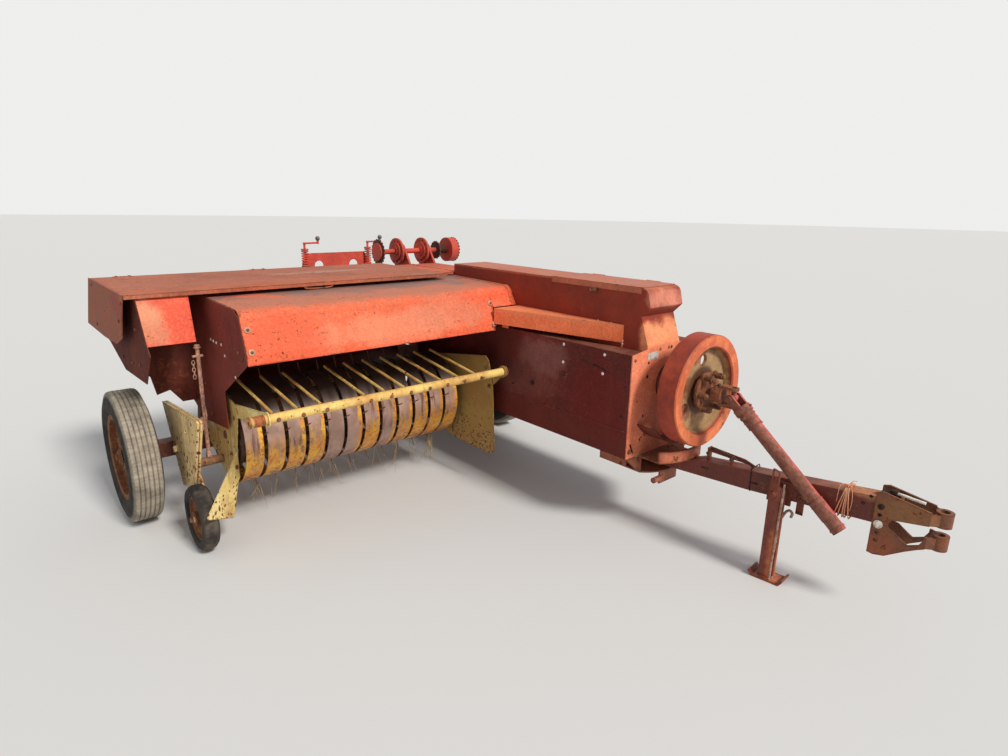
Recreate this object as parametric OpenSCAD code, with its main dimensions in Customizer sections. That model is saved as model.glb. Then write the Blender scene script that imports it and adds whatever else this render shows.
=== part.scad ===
// Tractor-drawn square baler, standing on its wheels and its tongue stand.
// X runs across the machine with the hitch side positive, the hitch points to -Y and Z is up.

/* [Bale case] */
// Width of the front bale case over its side sheets
case_w = 562; // [520:2:620]
// Height of the underside of the bale case above the ground
case_z = 426; // [410:2:450]
// Height of the front bale case
case_h = 498; // [470:2:540]
// Distance from the axle forward to the front face of the case
case_front = 1742; // [1650:2:1850]
// Distance from the axle back to the end of the bale chamber
case_back = 1850; // [1780:5:2100]
// Thickness of the case sheets
case_t = 5; // [4:0.5:8]
// Inside width of the bale chamber
bale_w = 457; // [440:1:470]
// Inside height of the bale chamber
bale_h = 356; // [340:1:370]
// Height of the feed opening in the right case wall
feed_h = 246; // [200:2:250]
// Length of the feed opening along the case
feed_len = 310; // [260:5:320]

/* [Covers] */
// Thickness of the cover sheets
sheet_t = 4; // [3:0.5:6]
// Height of the top cover above the ground
cover_z = 1176; // [1165:1:1200]
// Distance the top cover reaches out beyond the hood side sheet
cover_over = 335; // [310:1:350]
// Distance from the axle forward to the front edge of the hood
hood_front = 860; // [840:2:900]
// Height of the lower front edge of the hood
hood_edge_z = 909; // [900:1:930]
// Distance from the case centre to the hood side sheet
hood_reach = 1665; // [1662:1:1672]
// Width of the twine box
twine_w = 250; // [200:2:300]
// Height of the twine box top above the ground
twine_z = 1213; // [1195:1:1240]

/* [Wheels] */
// Outer radius of the main tyres
tyre_r = 330; // [326:1:334]
// Width of the main tyres
tyre_w = 150; // [130:2:160]
// Radius of the bead seat of the main rims
rim_r = 196; // [185:1:200]
// Ribs round each main tyre
tyre_ribs = 6; // [4:1:8]
// Width of the bay for the gauge wheel between the hood side and the right tyre
gauge_bay = 240; // [230:1:260]
// Distance from the case centre to the outer side of the left tyre
left_reach = 470; // [466:1:490]
// Radius of the gauge wheel
gauge_r = 154; // [140:1:156]
// Width of the gauge wheel
gauge_w = 72; // [66:2:84]

/* [Pickup] */
// Outer radius of the stripper bands
band_r = 240; // [230:1:250]
// Slot between two stripper bands
band_slot = 19; // [17:1:24]
// Thickness of the stripper bands
band_t = 5; // [4:0.5:7]
// Number of stripper bands
band_count = 12; // [10:1:12]
// Radius that the tine tips turn on
tine_r = 298; // [270:1:300]
// Thickness of a spring tine
tine_d = 6; // [5:0.5:8]
// Tine bars round the reel
tine_bars = 4; // [3:1:6]
// Distance the reel shaft lies ahead of the axle
reel_y = 400; // [395:1:410]
// Height of the reel shaft above the ground
reel_z = 475; // [465:1:485]

/* [Windguard] */
// Radius of the windguard pipe
guard_r = 21; // [16:1:24]
// Number of windguard rods, with one place left empty
guard_rods = 11; // [8:1:12]
// Length of a windguard rod
guard_len = 455; // [380:5:480]

/* [Drive] */
// Outer radius of the flywheel
fly_r = 262; // [240:1:266]
// Width of the flywheel rim
fly_w = 100; // [80:1:110]
// Height of the flywheel shaft above the ground
fly_z = 760; // [755:1:770]
// Outer radius of the telescoping drive tube
tube_r = 29; // [24:1:31]
// Bore radius of the telescoping drive tube
tube_bore = 23; // [18:1:24]
// Distance the drive tube ends short of the hitch pin, along the tongue
tube_short = 648; // [634:2:720]

/* [Tongue] */
// Width of the tongue beam
tongue_w = 78; // [70:1:84]
// Height of the tongue beam at its pivot
tongue_h = 75; // [66:1:80]
// Distance from the tongue pivot to the hitch pin
hitch_reach = 1324; // [1290:2:1360]
// Angle of the tongue away from straight ahead
tongue_angle = 5; // [3:0.5:6]
// Bore radius of the hitch eyes
hitch_bore = 15; // [13:0.5:17]

/* [Hidden] */
$fn = 48;

// Seat between two pieces that bear on each other
seat = 0.3;
// Running gap round a shaft
run = 0.3;

// Fore and aft places, counted back from the axle
case_y0 = -case_front;
case_y1 = case_back;
front_y1 = 330;
feed_y1 = front_y1 - 30;
feed_y0 = feed_y1 - feed_len;
tongue_y = case_y0 + 142;
case_x = case_w / 2;
case_top = case_z + case_h;
wall_z0 = case_z + 50;
floor_z = wall_z0 + 24;
bale_top = floor_z + bale_h;
bale_x = bale_w / 2;
wall_t = 6;
wall_x = bale_x + wall_t;
channel_top = bale_top + wall_t + seat + 54;
axle_z = tyre_r;
right_reach = hood_reach + sheet_t + gauge_bay + tyre_w;
cover_reach = hood_reach + cover_over;
tube_len = hitch_reach - tube_short;
lift_y = -60;
lift_z = 600;
lift_r = 12;
pan_z = 594;
gauge_y = -548;
gauge_lift = 3;
gauge_z = gauge_r + gauge_lift;
band_x0 = -hood_reach + 29;
band_x1 = -case_x - 150;
band_pitch = (band_x1 - band_x0 + band_slot) / band_count;
band_w = band_pitch - band_slot;
shield_x = band_x1 + 59;
guard_y = -954;
guard_z = 700;
guard_tilt = 8;
twine_x0 = -170;
twine_x1 = twine_x0 + twine_w;
twine_y1 = -264;
lid_y1 = -1115;
hood_x1 = twine_x0 - case_t;
cover_y0 = -414;
cover_y1 = 357;
cover_x1 = -330;
cover_hinge_r = 8;
cover_hinge_y = cover_y1 + 9;
cover_hinge_z = cover_z - 9;
cover_seat = [cover_hinge_y - 4, cover_hinge_z - cover_hinge_r - seat - 3];
fly_y1 = case_y0 - 131;
fly_y0 = fly_y1 - fly_w;
fly_web = 42;
fly_hub_back = fly_web + 34;
cross_y = -2096;
tube_drop = 40.1;
needle_y = 380;
needle_z = 560;
needle_r = 400;
needle_x = 105;
knot_y = 520;
knot_z = 1235;
meter_y = 1000;
jack_reach = 745;
jack_pivot_z = 405;
tongue_pin_r = 20;
tongue_z1 = case_z - 8 - 5;
tongue_z0 = tongue_z1 - tongue_h;
gauge_x = -hood_reach - 131;
lift_x = -hood_reach - 47;
tube_y = -320;
tube_z = 330;
tube_bar_r = 22;
hitch_top = 496;
hitch_low = 344;
hitch_fork = 168;

// Overall extents, from which the part's origin is set at the middle of its base
part_x0 = -right_reach;
part_x1 = left_reach;
part_y0 = tongue_y - (hitch_reach + 26) * cos(tongue_angle);
part_y1 = case_y1;

module at_frame() translate([-(part_x0 + part_x1) / 2, -(part_y0 + part_y1) / 2, 0]) children();

// Plate drawn in Y and Z, standing across X from x
module plate_x(x, t) translate([x, 0, 0]) rotate([90, 0, 90]) linear_extrude(t) children();

// Plate drawn in X and Z, standing across Y from y
module plate_y(y, t) translate([0, y + t, 0]) rotate([90, 0, 0]) linear_extrude(t) children();

// Plate drawn in X and Y, lying flat from z
module plate_z(z, t) translate([0, 0, z]) linear_extrude(t) children();

// Round bar along X, Y or Z
module bar_x(x0, x1, r) translate([x0, 0, 0]) rotate([0, 90, 0]) cylinder(h = x1 - x0, r = r);
module bar_y(y0, y1, r) translate([0, y1, 0]) rotate([90, 0, 0]) cylinder(h = y1 - y0, r = r);

module block(x0, x1, y0, y1, z0, z1) translate([x0, y0, z0]) cube([x1 - x0, y1 - y0, z1 - z0]);

// Round rod of radius r between two points
module rod(a, b, r) {
  d = b - a;
  len = norm(d);
  translate(a) rotate([0, acos(d[2] / len), atan2(d[1], d[0])]) cylinder(h = len, r = r, $fn = 16);
}

// Bent sheet: a polyline of [y, z] points made t thick on its left side
function unit(v) = v / norm(v);
function left_of(v) = [-v[1], v[0]];
function corner_out(p, q, s, t) =
  let (n1 = left_of(unit(q - p)), n2 = left_of(unit(s - q)))
  q + (n1 + n2) * t / (1 + n1 * n2);
function sheet_outer(pts, t) = [
  for (i = [0 : len(pts) - 1])
    i == 0 ? pts[0] + left_of(unit(pts[1] - pts[0])) * t
    : i == len(pts) - 1 ? pts[i] + left_of(unit(pts[i] - pts[i - 1])) * t
    : corner_out(pts[i - 1], pts[i], pts[i + 1], t)
];
function reversed(v) = [for (i = [len(v) - 1 : -1 : 0]) v[i]];
module bent_sheet(pts, t) polygon(concat(pts, reversed(sheet_outer(pts, t))));

// Points of an arc, counted in steps
function arc(cy, cz, r, a0, a1, n) =
    [for (i = [0 : n]) let (a = a0 + (a1 - a0) * i / n) [cy + r * cos(a), cz + r * sin(a)]];

// Front bale case: folded side sheets round the plunger, with the feed opening on the right
module case_front() at_frame() color("firebrick") {
  skirt_top = case_z + 137;
  skirt_t = 1.5;
  skirt_y1 = -700;
  difference() {
    union() {
      block(-case_x, case_x, case_y0, front_y1, case_z, case_top);
      block(-case_x - skirt_t, -case_x, case_y0, skirt_y1, case_z, skirt_top);
      block(case_x, case_x + skirt_t, case_y0, skirt_y1, case_z, skirt_top);
    }
    block(-case_x + case_t, case_x - case_t, case_y0 - 1, front_y1 + 1, case_z + case_t, case_top - case_t);
    block(-case_x - 1, -case_x + case_t + 1, feed_y0, feed_y1, pan_z, pan_z + feed_h);
  }
}

// Front plate of the case with its bolt holes and adjusting slots, each [distance out, height, radius
// or tilt]
module front_plate() at_frame() color("orangered") {
  holes = [[case_x - 121, case_top - 50, 7], [case_x - 118, case_top - 115, 9],
      [case_x - 110, case_z + 193, 8]];
  slots = [[case_x - 131, case_z + 96, 9, 20], [case_x - 96, case_z + 78, 9, 20],
      [case_x - 38, case_z + 44, 30, 28]];
  thick = 6;
  difference() {
    plate_y(case_y0 - thick, thick) difference() {
      polygon([
        [-case_x, case_z], [case_x, case_z], [case_x, case_top], [120, case_top + 22],
        [-120, case_top + 22], [-case_x, case_top]
      ]);
      translate([0, fly_z]) circle(r = 92);
    }
    for (side = [-1, 1]) {
      for (hole = holes) translate([side * hole[0], 0, hole[1]])
          bar_y(case_y0 - 2 * thick, case_y0 + thick, hole[2]);
      for (slot = slots) translate([side * slot[0], 0, slot[1]]) rotate([0, side * slot[3], 0])
        block(-6, 6, case_y0 - 2 * thick, case_y0 + thick, -slot[2], slot[2]);
    }
  }
}

// Plunger block resting in the case with its cut-off side towards the chamber
module plunger() at_frame() color("dimgray") {
  rail_gap = seat;
  px = bale_x - 2;
  difference() {
    block(-px, px, -1180, -820, floor_z + rail_gap, bale_top - 2);
    for (side = [-1, 1])
        block(side * needle_x - 16, side * needle_x + 16, -1200, -800, floor_z - 10, bale_top + 10);
  }
  block(-px, px, -1180, -1100, floor_z + rail_gap, bale_top - 2);
  for (side = [-1, 1])
      block(side * (case_x - 45) - 34, side * (case_x - 45) + 34, -1180, -900, case_z + case_t, floor_z);
}

// Main gearbox with the bearing housing that carries the flywheel shaft
module gearbox() at_frame() color("sienna") {
  half = 135;
  block(-half, half, case_y0 + 20, -1330, case_z + case_t, case_top - 60);
  translate([0, 0, fly_z]) {
    bar_y(case_y0 - 60, case_y0 + 20, 88);
    bar_y(fly_y0 + fly_hub_back + seat, case_y0 - 60, 52);
    bar_y(cross_y + 62, fly_y1, 20);
  }
}

// Rear bale chamber: side walls with lengthwise windows, floor and top with needle slots
module bale_chamber() at_frame() color("firebrick") {
  y0 = front_y1 + seat;
  slot_w = 34;
  window_h = 70;
  roof_y1 = 790;
  lip = 30;
  difference() {
    union() {
      for (side = [0, 1]) mirror([side, 0, 0]) {
        block(bale_x, wall_x, y0, case_y1, wall_z0, bale_top + wall_t);
        block(bale_x - lip, bale_x, roof_y1, case_y1, bale_top, bale_top + wall_t);
        block(wall_x, wall_x + lip, y0, case_y1, wall_z0, wall_z0 + wall_t);
        block(wall_x, case_x, y0, y0 + wall_t, case_z, case_top);
      }
      block(-wall_x, wall_x, y0, case_y1 - 150, floor_z - wall_t, floor_z);
      block(-bale_x, bale_x, y0, roof_y1, bale_top, bale_top + wall_t);
      block(-wall_x, wall_x, y0, y0 + wall_t, case_z, floor_z);
      block(-wall_x, wall_x, y0, y0 + wall_t, bale_top, case_top);
    }
    for (side = [-1, 1]) {
      block(side * needle_x - slot_w / 2, side * needle_x + slot_w / 2, 700, 830, floor_z - 20,
          floor_z + 10);
      block(side * needle_x - slot_w / 2, side * needle_x + slot_w / 2, 560, 720, bale_top - 10,
          bale_top + 20);
    }
    for (y = [1120, 1420])
      block(-wall_x - 60, wall_x + 60, y, y + 240, floor_z + 130, floor_z + 130 + window_h);
    block(-22, 22, meter_y - 170, meter_y + 170, bale_top - 10, bale_top + 20);
    translate([0, needle_y, needle_z]) bar_x(-wall_x - 1, wall_x + 1, 16 + run);
  }
  for (side = [0, 1]) mirror([side, 0, 0]) {
    translate([0, meter_y, bale_top + wall_t + 40]) difference() {
      union() {
        bar_x(40, 52, 26);
        block(40, 52, -26, 26, -40, 0);
      }
      bar_x(30, 60, 10 + run);
    }
    block(40, bale_x, meter_y - 26, meter_y + 26, bale_top, bale_top + wall_t);
  }
}

// Upper and lower tension rails that squeeze the bale, with their cross channels and draw rods
module tension_rails() at_frame() color("firebrick") {
  rail_w = 46;
  rail_y1 = case_y1 - 40;
  channel_w = 66;
  upper_y = 1600;
  lower_y = 1710;
  reach = 325;
  low_top = wall_z0 - seat;
  for (x = [-150, 0, 150]) {
    block(x - rail_w / 2, x + rail_w / 2, meter_y + (x == 0 ? 200 : 60), rail_y1, bale_top - 8,
        channel_top - 50);
    block(x - rail_w / 2, x + rail_w / 2, lower_y - 5, rail_y1, low_top - 10, floor_z + 6);
  }
  block(-reach, reach, upper_y, upper_y + channel_w, channel_top - 54, channel_top);
  block(-reach, reach, lower_y, lower_y + channel_w, low_top - 60, low_top);
  for (side = [-1, 1]) {
    rod([side * 290, lower_y - 12, low_top - 30], [side * 290, upper_y + channel_w / 2, channel_top - 54],
        9);
    rod([side * 290, lower_y - 12, low_top - 30], [side * 290, lower_y + 10, low_top - 30], 12);
  }
}

// Density screws with stacked spring coils, crank handles and the arched cross channel
module density_springs() at_frame() color("indianred") {
  screw_x = 290;
  spring_z0 = channel_top + 130;
  spring_z1 = knot_z - 55;
  coils = 7;
  wire_r = 6;
  coil_r = 24;
  y = 1633;
  for (side = [-1, 1]) translate([side * screw_x, y, 0]) {
    translate([0, 0, channel_top + seat]) cylinder(h = knot_z - channel_top - seat, r = 9);
    for (i = [0 : coils - 1]) translate([0, 0, spring_z0 + (i + 0.5) * (spring_z1 - spring_z0) / coils])
      rotate_extrude() translate([coil_r, 0]) circle(r = wire_r, $fn = 16);
    for (z = [spring_z0 - 10, spring_z1]) translate([0, 0, z]) cylinder(h = 10, r = coil_r + wire_r);
    cage_r = 4;
    for (a = [45, 225]) rotate([0, 0, a]) translate([coil_r, 0, spring_z0 - 1])
      cylinder(h = spring_z1 - spring_z0 + 2, r = cage_r);
    rod([0, 0, knot_z], [90, -60, knot_z + 6], 7);
    rod([0, 0, knot_z - 8], [0, 0, knot_z + 7], 12);
    translate([90, -60, knot_z - 4]) cylinder(h = 62, r = 9);
  }
  plate_y(y + 24, 6) difference() {
    polygon(concat(
      [[-screw_x - 40, channel_top + seat], [screw_x + 40, channel_top + seat]],
      arc(0, channel_top + 60, screw_x + 30, 10, 170, 12)
    ));
    translate([0, channel_top + 40]) square([2 * screw_x - 120, 30], center = true);
    for (side = [-1, 1]) translate([side * 160, channel_top + 130]) circle(r = 40);
    translate([-screw_x - 60, channel_top + 235]) square([2 * screw_x + 120, 300]);
  }
  for (side = [-1, 1])
      block(side * screw_x - 30, side * screw_x + 30, y - 20, y + 30, spring_z0 - 30, spring_z0 - 10);
}

// Two cast knotter frames standing on the chamber roof and holding the knotter shaft
module knotter_frame() at_frame() color("indianred") {
  foot_z = bale_top + wall_t;
  web = 16;
  for (x = [-needle_x, needle_x]) {
    difference() {
      plate_x(x + 38, web) difference() {
        union() {
          polygon([
            [knot_y - 150, foot_z], [knot_y + 40, foot_z], [knot_y + 110, foot_z + 120],
            [knot_y + 60, knot_z], [knot_y - 50, knot_z + 20], [knot_y - 170, foot_z + 200]
          ]);
          translate([knot_y, knot_z]) circle(r = 52);
        }
        translate([knot_y - 40, foot_z + 130]) circle(r = 62);
      }
      translate([0, knot_y, knot_z]) bar_x(x, x + 80, 18 + run);
    }
    translate([x + 38 - 46, knot_y - 60, foot_z + 150]) rotate([0, 90, 0])
        cylinder(h = 46, r1 = 16, r2 = 34);
    translate([0, knot_y + 70, foot_z + 118]) bar_x(x - 10, x + 38 + web, 15);
    block(x + 38, x + 38 + web, knot_y - 150, knot_y + 60, foot_z, foot_z + 14);
    block(x + 38 + web, x + 38 + web + 40, knot_y - 150, knot_y - 90, foot_z, foot_z + 12);
  }
}

// Knotter shaft with its two cam gears, clutch drum and trip arm
module knotter_shaft() at_frame() color("indianred") {
  gear_r = 92;
  translate([0, knot_y, knot_z]) {
    bar_x(-262, 400, 18);
    for (x = [-needle_x, needle_x]) {
      bar_x(x - 16, x + 30, 40);
      difference() {
        bar_x(x, x + 16, gear_r);
        for (a = [20 : 30 : 350]) rotate([a, 0, 0]) translate([0, 0, gear_r - 24]) bar_x(x - 1, x + 17, 9);
      }
      bar_x(x - 10, x, 66);
    }
    difference() {
      bar_x(330, 392, 88);
      bar_x(344, 400, 74);
    }
    bar_x(340, 398, 34);
    bar_x(-262, -250, 62);
  }
}

// Needle yoke: two curved needles on a bar hung from the chamber sides
module needle_yoke() at_frame() color("silver") {
  arm_x0 = wall_x + 34;
  arm_t = 14;
  bow = needle_r;
  half = 15;
  translate([0, needle_y, needle_z]) {
    for (side = [0, 1]) mirror([side, 0, 0]) {
      bar_x(bale_x + 1, arm_x0, 16);
      plate_x(arm_x0, arm_t) difference() {
        union() {
          circle(r = 34);
          rotate(-95) translate([0, -24]) square([bow + 24, 48]);
        }
        circle(r = 6);
      }
      plate_x(needle_x - 9, 18) difference() {
        rotate(-96) intersection() {
          difference() {
            circle(r = bow + half, $fn = 96);
            circle(r = bow - half, $fn = 96);
          }
          polygon([[0, 0], [600, 0], [600, 400], [300, 600], [600 * cos(84), 600 * sin(84)]]);
        }
        rotate(-12) translate([bow - half, -60]) rotate(8) translate([-40, 0]) square([40, 80]);
      }
    }
    rotate([-95, 0, 0]) translate([0, bow, 0]) bar_x(-arm_x0, arm_x0, 21);
  }
}

// Star wheel on the chamber top that measures the bale length
module meter_wheel() at_frame() color("silver") {
  points = 12;
  star_r = 92;
  translate([0, meter_y, bale_top + wall_t + 40]) {
    plate_x(-4, 8) union() {
      circle(r = star_r - 26);
      for (i = [0 : points - 1]) rotate(i * 360 / points) polygon([
        [star_r - 34, -15], [star_r, -2], [star_r, 2], [star_r - 34, 15]
      ]);
    }
    bar_x(-60, 60, 10);
    bar_x(-20, 20, 20);
  }
}

// Plates and gussets under the case front that hold the tongue pivot, with the curved lip above
module drawbar_frame() at_frame() color("orangered") {
  plate_t = 8;
  low_z0 = tongue_z0 - 5 - plate_t;
  lip_r = 328;
  lip_h = 49;
  lip_x0 = -188;
  lip_x1 = 74;
  low_r = 212;
  side_x = 148;
  difference() {
    union() {
      plate_z(case_z - plate_t, plate_t) union() {
        translate([-side_x - 10, tongue_y - 60]) square([2 * side_x + 20, 170]);
        intersection() {
          translate([0, tongue_y]) circle(r = lip_r);
          polygon([
            [-side_x - 10, tongue_y], [lip_x0, tongue_y - 90], [lip_x0, tongue_y - lip_r - 1],
            [lip_x1, tongue_y - lip_r - 1], [lip_x1, tongue_y - 230], [side_x + 12, tongue_y - 160],
            [side_x + 12, tongue_y]
          ]);
        }
      }
      plate_z(low_z0, plate_t) union() {
        translate([-side_x - 10, tongue_y - 60]) square([2 * side_x + 20, 170]);
        intersection() {
          translate([0, tongue_y]) circle(r = low_r);
          translate([-side_x - 10, tongue_y - low_r]) square([2 * side_x + 20, low_r]);
        }
      }
      for (side = [0, 1]) mirror([side, 0, 0]) {
        block(side_x, side_x + 10, tongue_y - 60, tongue_y + 110, low_z0 + plate_t, case_z - plate_t);
        plate_y(case_y0, 10) polygon([
          [case_x - 6, case_z], [side_x, case_z], [side_x, low_z0], [side_x + 10, low_z0]
        ]);
      }
      translate([0, tongue_y, case_z]) intersection() {
        difference() {
          cylinder(h = lip_h, r = lip_r);
          translate([0, 0, -1]) cylinder(h = lip_h + 2, r = lip_r - 8);
        }
        translate([lip_x0, -lip_r - 1, 0]) cube([lip_x1 - lip_x0, 150, lip_h]);
      }
      block(-72, 70, tongue_y - low_r + 12, tongue_y - low_r + 20, 262, low_z0 + plate_t);
      translate([0, tongue_y - low_r + 16, 290]) bar_x(-118, -60, 14);
    }
    for (a = [-30 : 8 : 10]) rotate_about(a) translate([0, -lip_r + 34, case_z - 20])
        cylinder(h = 40, r = 9);
  }
  translate([0, tongue_y, low_z0 - 10]) cylinder(h = case_z - low_z0, r = tongue_pin_r);
  for (z = [tongue_z0 - 5, tongue_z1 + seat]) translate([0, tongue_y, z]) cylinder(h = 5 - seat, r = 36);
}
module rotate_about(a) translate([0, tongue_y, 0]) rotate([0, 0, a]) children();

// Main axle: square beam across the machine with spindles and case hangers
module main_axle() at_frame() color("firebrick") {
  half = 38;
  right_in = -right_reach + tyre_w;
  left_in = left_reach - tyre_w;
  block(right_in + 16, left_in - 16, -half, half, axle_z - half, axle_z + half);
  translate([0, 0, axle_z]) {
    bar_x(-right_reach + 20, right_in + 16, 20);
    bar_x(left_in - 16, left_reach - 20, 20);
  }
  for (x = [-150, 150]) block(x - 30, x + 30, -half, half, axle_z + half, case_z - seat);
  for (x = [-1560, -900, -400]) plate_x(x, 8) polygon([
    [-30, axle_z + half], [30, axle_z + half], [60, pan_z - sheet_t - seat], [-10, pan_z - sheet_t - seat]
  ]);
  lift_post(band_x0 - 26, 8);
  bar_lift(band_x0 - 26, band_x0 - 0.5);
  lift_post(shield_x + 8, 8);
  bar_lift(band_x1 + 0.5, shield_x + 16);
}
module bar_lift(x0, x1) translate([0, lift_y, lift_z]) bar_x(x0, x1, lift_r);
module lift_post(x, t) plate_x(x, t) polygon([
  [-34, axle_z + 30], [30, axle_z + 30], [-34, 560], [-34, lift_z + 25], [-86, lift_z + 25], [-86, 575]
]);

// Feeder housing: the pan behind the pickup and the sheet wall at its back
module feeder_housing() at_frame() color("saddlebrown") {
  x0 = -hood_reach + sheet_t + seat;
  x1 = -case_x - seat;
  pan = [[-22, pan_z], [300, pan_z], [470, 760], [600, 912], cover_seat];
  plate_x(x0, x1 - x0) bent_sheet(reversed(pan), sheet_t);
  plate_x(x0 - sheet_t, sheet_t) polygon([
    [0, pan_z], [300, pan_z], [470, 760], [600, 912], cover_seat, [cover_seat[0] - 60, cover_seat[1]],
    [200, 800]
  ]);
}

// Feeder rail hung over the pan with three groups of packer fingers
module feeder_rail() at_frame() color("dimgray") {
  rail_z = 1040;
  rail_y = 60;
  post_x = -bale_x + 2;
  block(-hood_reach + seat, post_x + 20, rail_y - 25, rail_y + 25, rail_z - 25, rail_z + 25);
  block(post_x, post_x + 20, rail_y - 25, rail_y + 25, case_top + seat, rail_z);
  for (x = [-1350, -980, -610]) plate_x(x, 10) polygon(concat(
    [[rail_y - 40, rail_z - 25], [rail_y - 25, rail_z - 220], [rail_y + 5, rail_z - 380]],
    [[rail_y + 25, rail_z - 200], [rail_y + 40, rail_z - 25]]
  ));
}

// Front hood: one sheet rolled over its front edge, with a narrow end panel over the case
module front_hood() at_frame() color("tomato") {
  nose_r = 55;
  top = [[-64, 1146], [-735, 1133]];
  front = [[-hood_front + 4, 950], [-hood_front, hood_edge_z]];
  profile = concat(top, arc(-735 - 18, 1133 - nose_r, nose_r, 80, 175, 6), front);
  plate_x(-hood_reach, hood_reach - 335) bent_sheet(profile, sheet_t);
  plate_x(-335, 335 + hood_x1 - 24)
      bent_sheet(concat(top, arc(-735 - 18, 1133 - nose_r, nose_r, 80, 175, 6), [[-hood_front + 20, 1032]]),
      sheet_t);
  for (x = [-hood_reach, hood_x1 - 24]) plate_x(x, sheet_t) polygon([
    [-64, 1146], [-735, 1133], [-735, 1105], [-64, 1118]
  ]);
  plate_x(hood_x1 - 24, twine_x0 - seat - hood_x1 + 24) bent_sheet(concat([[-64, 1148]], [[-735, 1135]],
    arc(-735 - 18, 1135 - nose_r, nose_r + 1, 80, 175, 6), [[-hood_front + 18, 1032]]), sheet_t + 2);
}

// Hood side sheet between the pickup and the outer housing
module hood_side() at_frame() color("maroon") {
  plate_x(-hood_reach - sheet_t, sheet_t) polygon([
    [-64, 1142], [-738, 1129], [-790, 1108], [-808, 1080], [-hood_front, 914], [-523, 723],
    [-524, 541], [-161, 499], [110, 594], [110, 1142]
  ]);
}

// Outer housing: side sheet beyond the hood with its rear wall
module end_housing() at_frame() color("maroon") {
  x0 = -cover_reach + 40;
  x1 = -hood_reach - sheet_t - seat;
  top = cover_z - sheet_t - seat;
  plate_x(x0, sheet_t) polygon([
    [cover_y0 + 4, top], [cover_y0 + 4, cover_z - 19], [-517, 981], [-568, 936], [-436, 789], [-13, 769],
    [313, 862], [600, 912], [cover_y1 + 4, top]
  ]);
  plate_x(x0, x1 - x0) bent_sheet([cover_seat, [600, 912], [313, 862]], sheet_t);
  plate_y(-60, sheet_t) polygon([
    [x0, top], [x0, 800], [x1 - 200, 726], [x1 - 181, 630], [x1 - 120, 646], [x1 - 68, 576], [x1, 576],
    [x1, top]
  ]);
}

// Small box on the front corner beyond the hood
module corner_box() at_frame() color("red") {
  x0 = -cover_reach + 40 + sheet_t + seat;
  x1 = -hood_reach - 85;
  r = 34;
  top = cover_z - 8;
  profile = concat([[-62, top]], arc(-405 + r, top - r, r, 90, 165, 5), [[-455, 955]]);
  plate_x(x0, x1 - x0) bent_sheet(profile, sheet_t);
  plate_x(x1, sheet_t) polygon([[-62, top], [-400, top], [-455, 955], [-62, 1010]]);
}

// Tapered ledge beside the twine box
module side_ledge() at_frame() color("orangered") {
  z1 = 1031;
  h = 84;
  rear_y = -hood_front - 2;
  tip_y = -1600;
  wide = [[-350, rear_y], [-178, tip_y], [twine_x0 - seat, tip_y], [twine_x0 - seat, rear_y]];
  plate_z(z1 - sheet_t, sheet_t) polygon(wide);
  plate_z(z1 - h, h) polygon([
    [-350, rear_y], [-178, tip_y], [-178 + 8, tip_y], [-350 + 8, rear_y]
  ]);
  block(-178, twine_x0 - seat, tip_y, tip_y + 5, case_top, z1);
  block(-300, -296, rear_y - 60, rear_y - 10, case_top, z1 - 2);
}

// Twine box along the top of the case, with a recessed front below its nose
module twine_box() at_frame() color("firebrick") {
  t = case_t;
  nose_r = 36;
  nose = [case_y0 + 50, twine_z - nose_r];
  profile = concat(
    [[case_y0, case_top], [case_y0, 951], [case_y0 + 47, 1083], [case_y0 + 1, 1128]],
    arc(nose[0], nose[1], nose_r, 165, 90, 6), [[twine_y1, twine_z], [twine_y1, case_top]]
  );
  difference() {
    plate_x(twine_x0, twine_w) polygon(profile);
    plate_x(twine_x0 + t, twine_w - 2 * t) polygon(concat(
      [[case_y0 + t, case_top + t], [case_y0 + t, 951], [case_y0 + 47 + t, 1083], [case_y0 + 2 + t, 1129]],
      arc(nose[0], nose[1], nose_r - t, 165, 90, 6),
          [[twine_y1 - t, twine_z - t], [twine_y1 - t, case_top + t]]
    ));
    block(twine_x0 + 25, twine_x1 - 25, nose[0] + 25, lid_y1 - 25, twine_z - 20, twine_z + 10);
  }
}

// Lid of the twine box, hinged along its left edge
module twine_lid() at_frame() color("brown") {
  z0 = twine_z + seat;
  lip = 26;
  out = twine_x0 - seat - 3;
  block(out, twine_x1, case_y0 + 50, lid_y1, z0, z0 + 4);
  block(out, out + 3, case_y0 + 55, lid_y1, z0 - lip, z0 + 4);
  translate([twine_x1 + 7, 0, twine_z]) for (y = [-1600, -1250]) bar_y(y, y + 80, 6.5);
  for (y = [-1600, -1250]) block(twine_x1 - 30, twine_x1 + 8, y, y + 80, z0, z0 + 4);
}

// Rear top cover with its folded outer end sheet, hinged along its rear edge
module rear_cover() at_frame() color("brown") {
  x0 = -cover_reach;
  plate_x(x0, cover_x1 - x0) polygon([
    [cover_y0, cover_z - 18], [cover_y0 + 3, cover_z - 18], [cover_y0 + 3, cover_z - sheet_t],
    [cover_y1, cover_z - sheet_t], [cover_y1, cover_z], [cover_y0, cover_z]
  ]);
  plate_x(x0 - sheet_t, sheet_t) polygon([
    [cover_y0, cover_z], [-285, 972], [-149, 924], [127, 912], [600, 912], [cover_y1 + 15, cover_z]
  ]);
  for (x = [-1900, -1200, -500]) {
    translate([0, cover_hinge_y, cover_hinge_z]) bar_x(x, x + 90, cover_hinge_r);
    block(x, x + 90, cover_y1 - 30, cover_hinge_y, cover_z - 2, cover_z + 1);
  }
}

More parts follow.
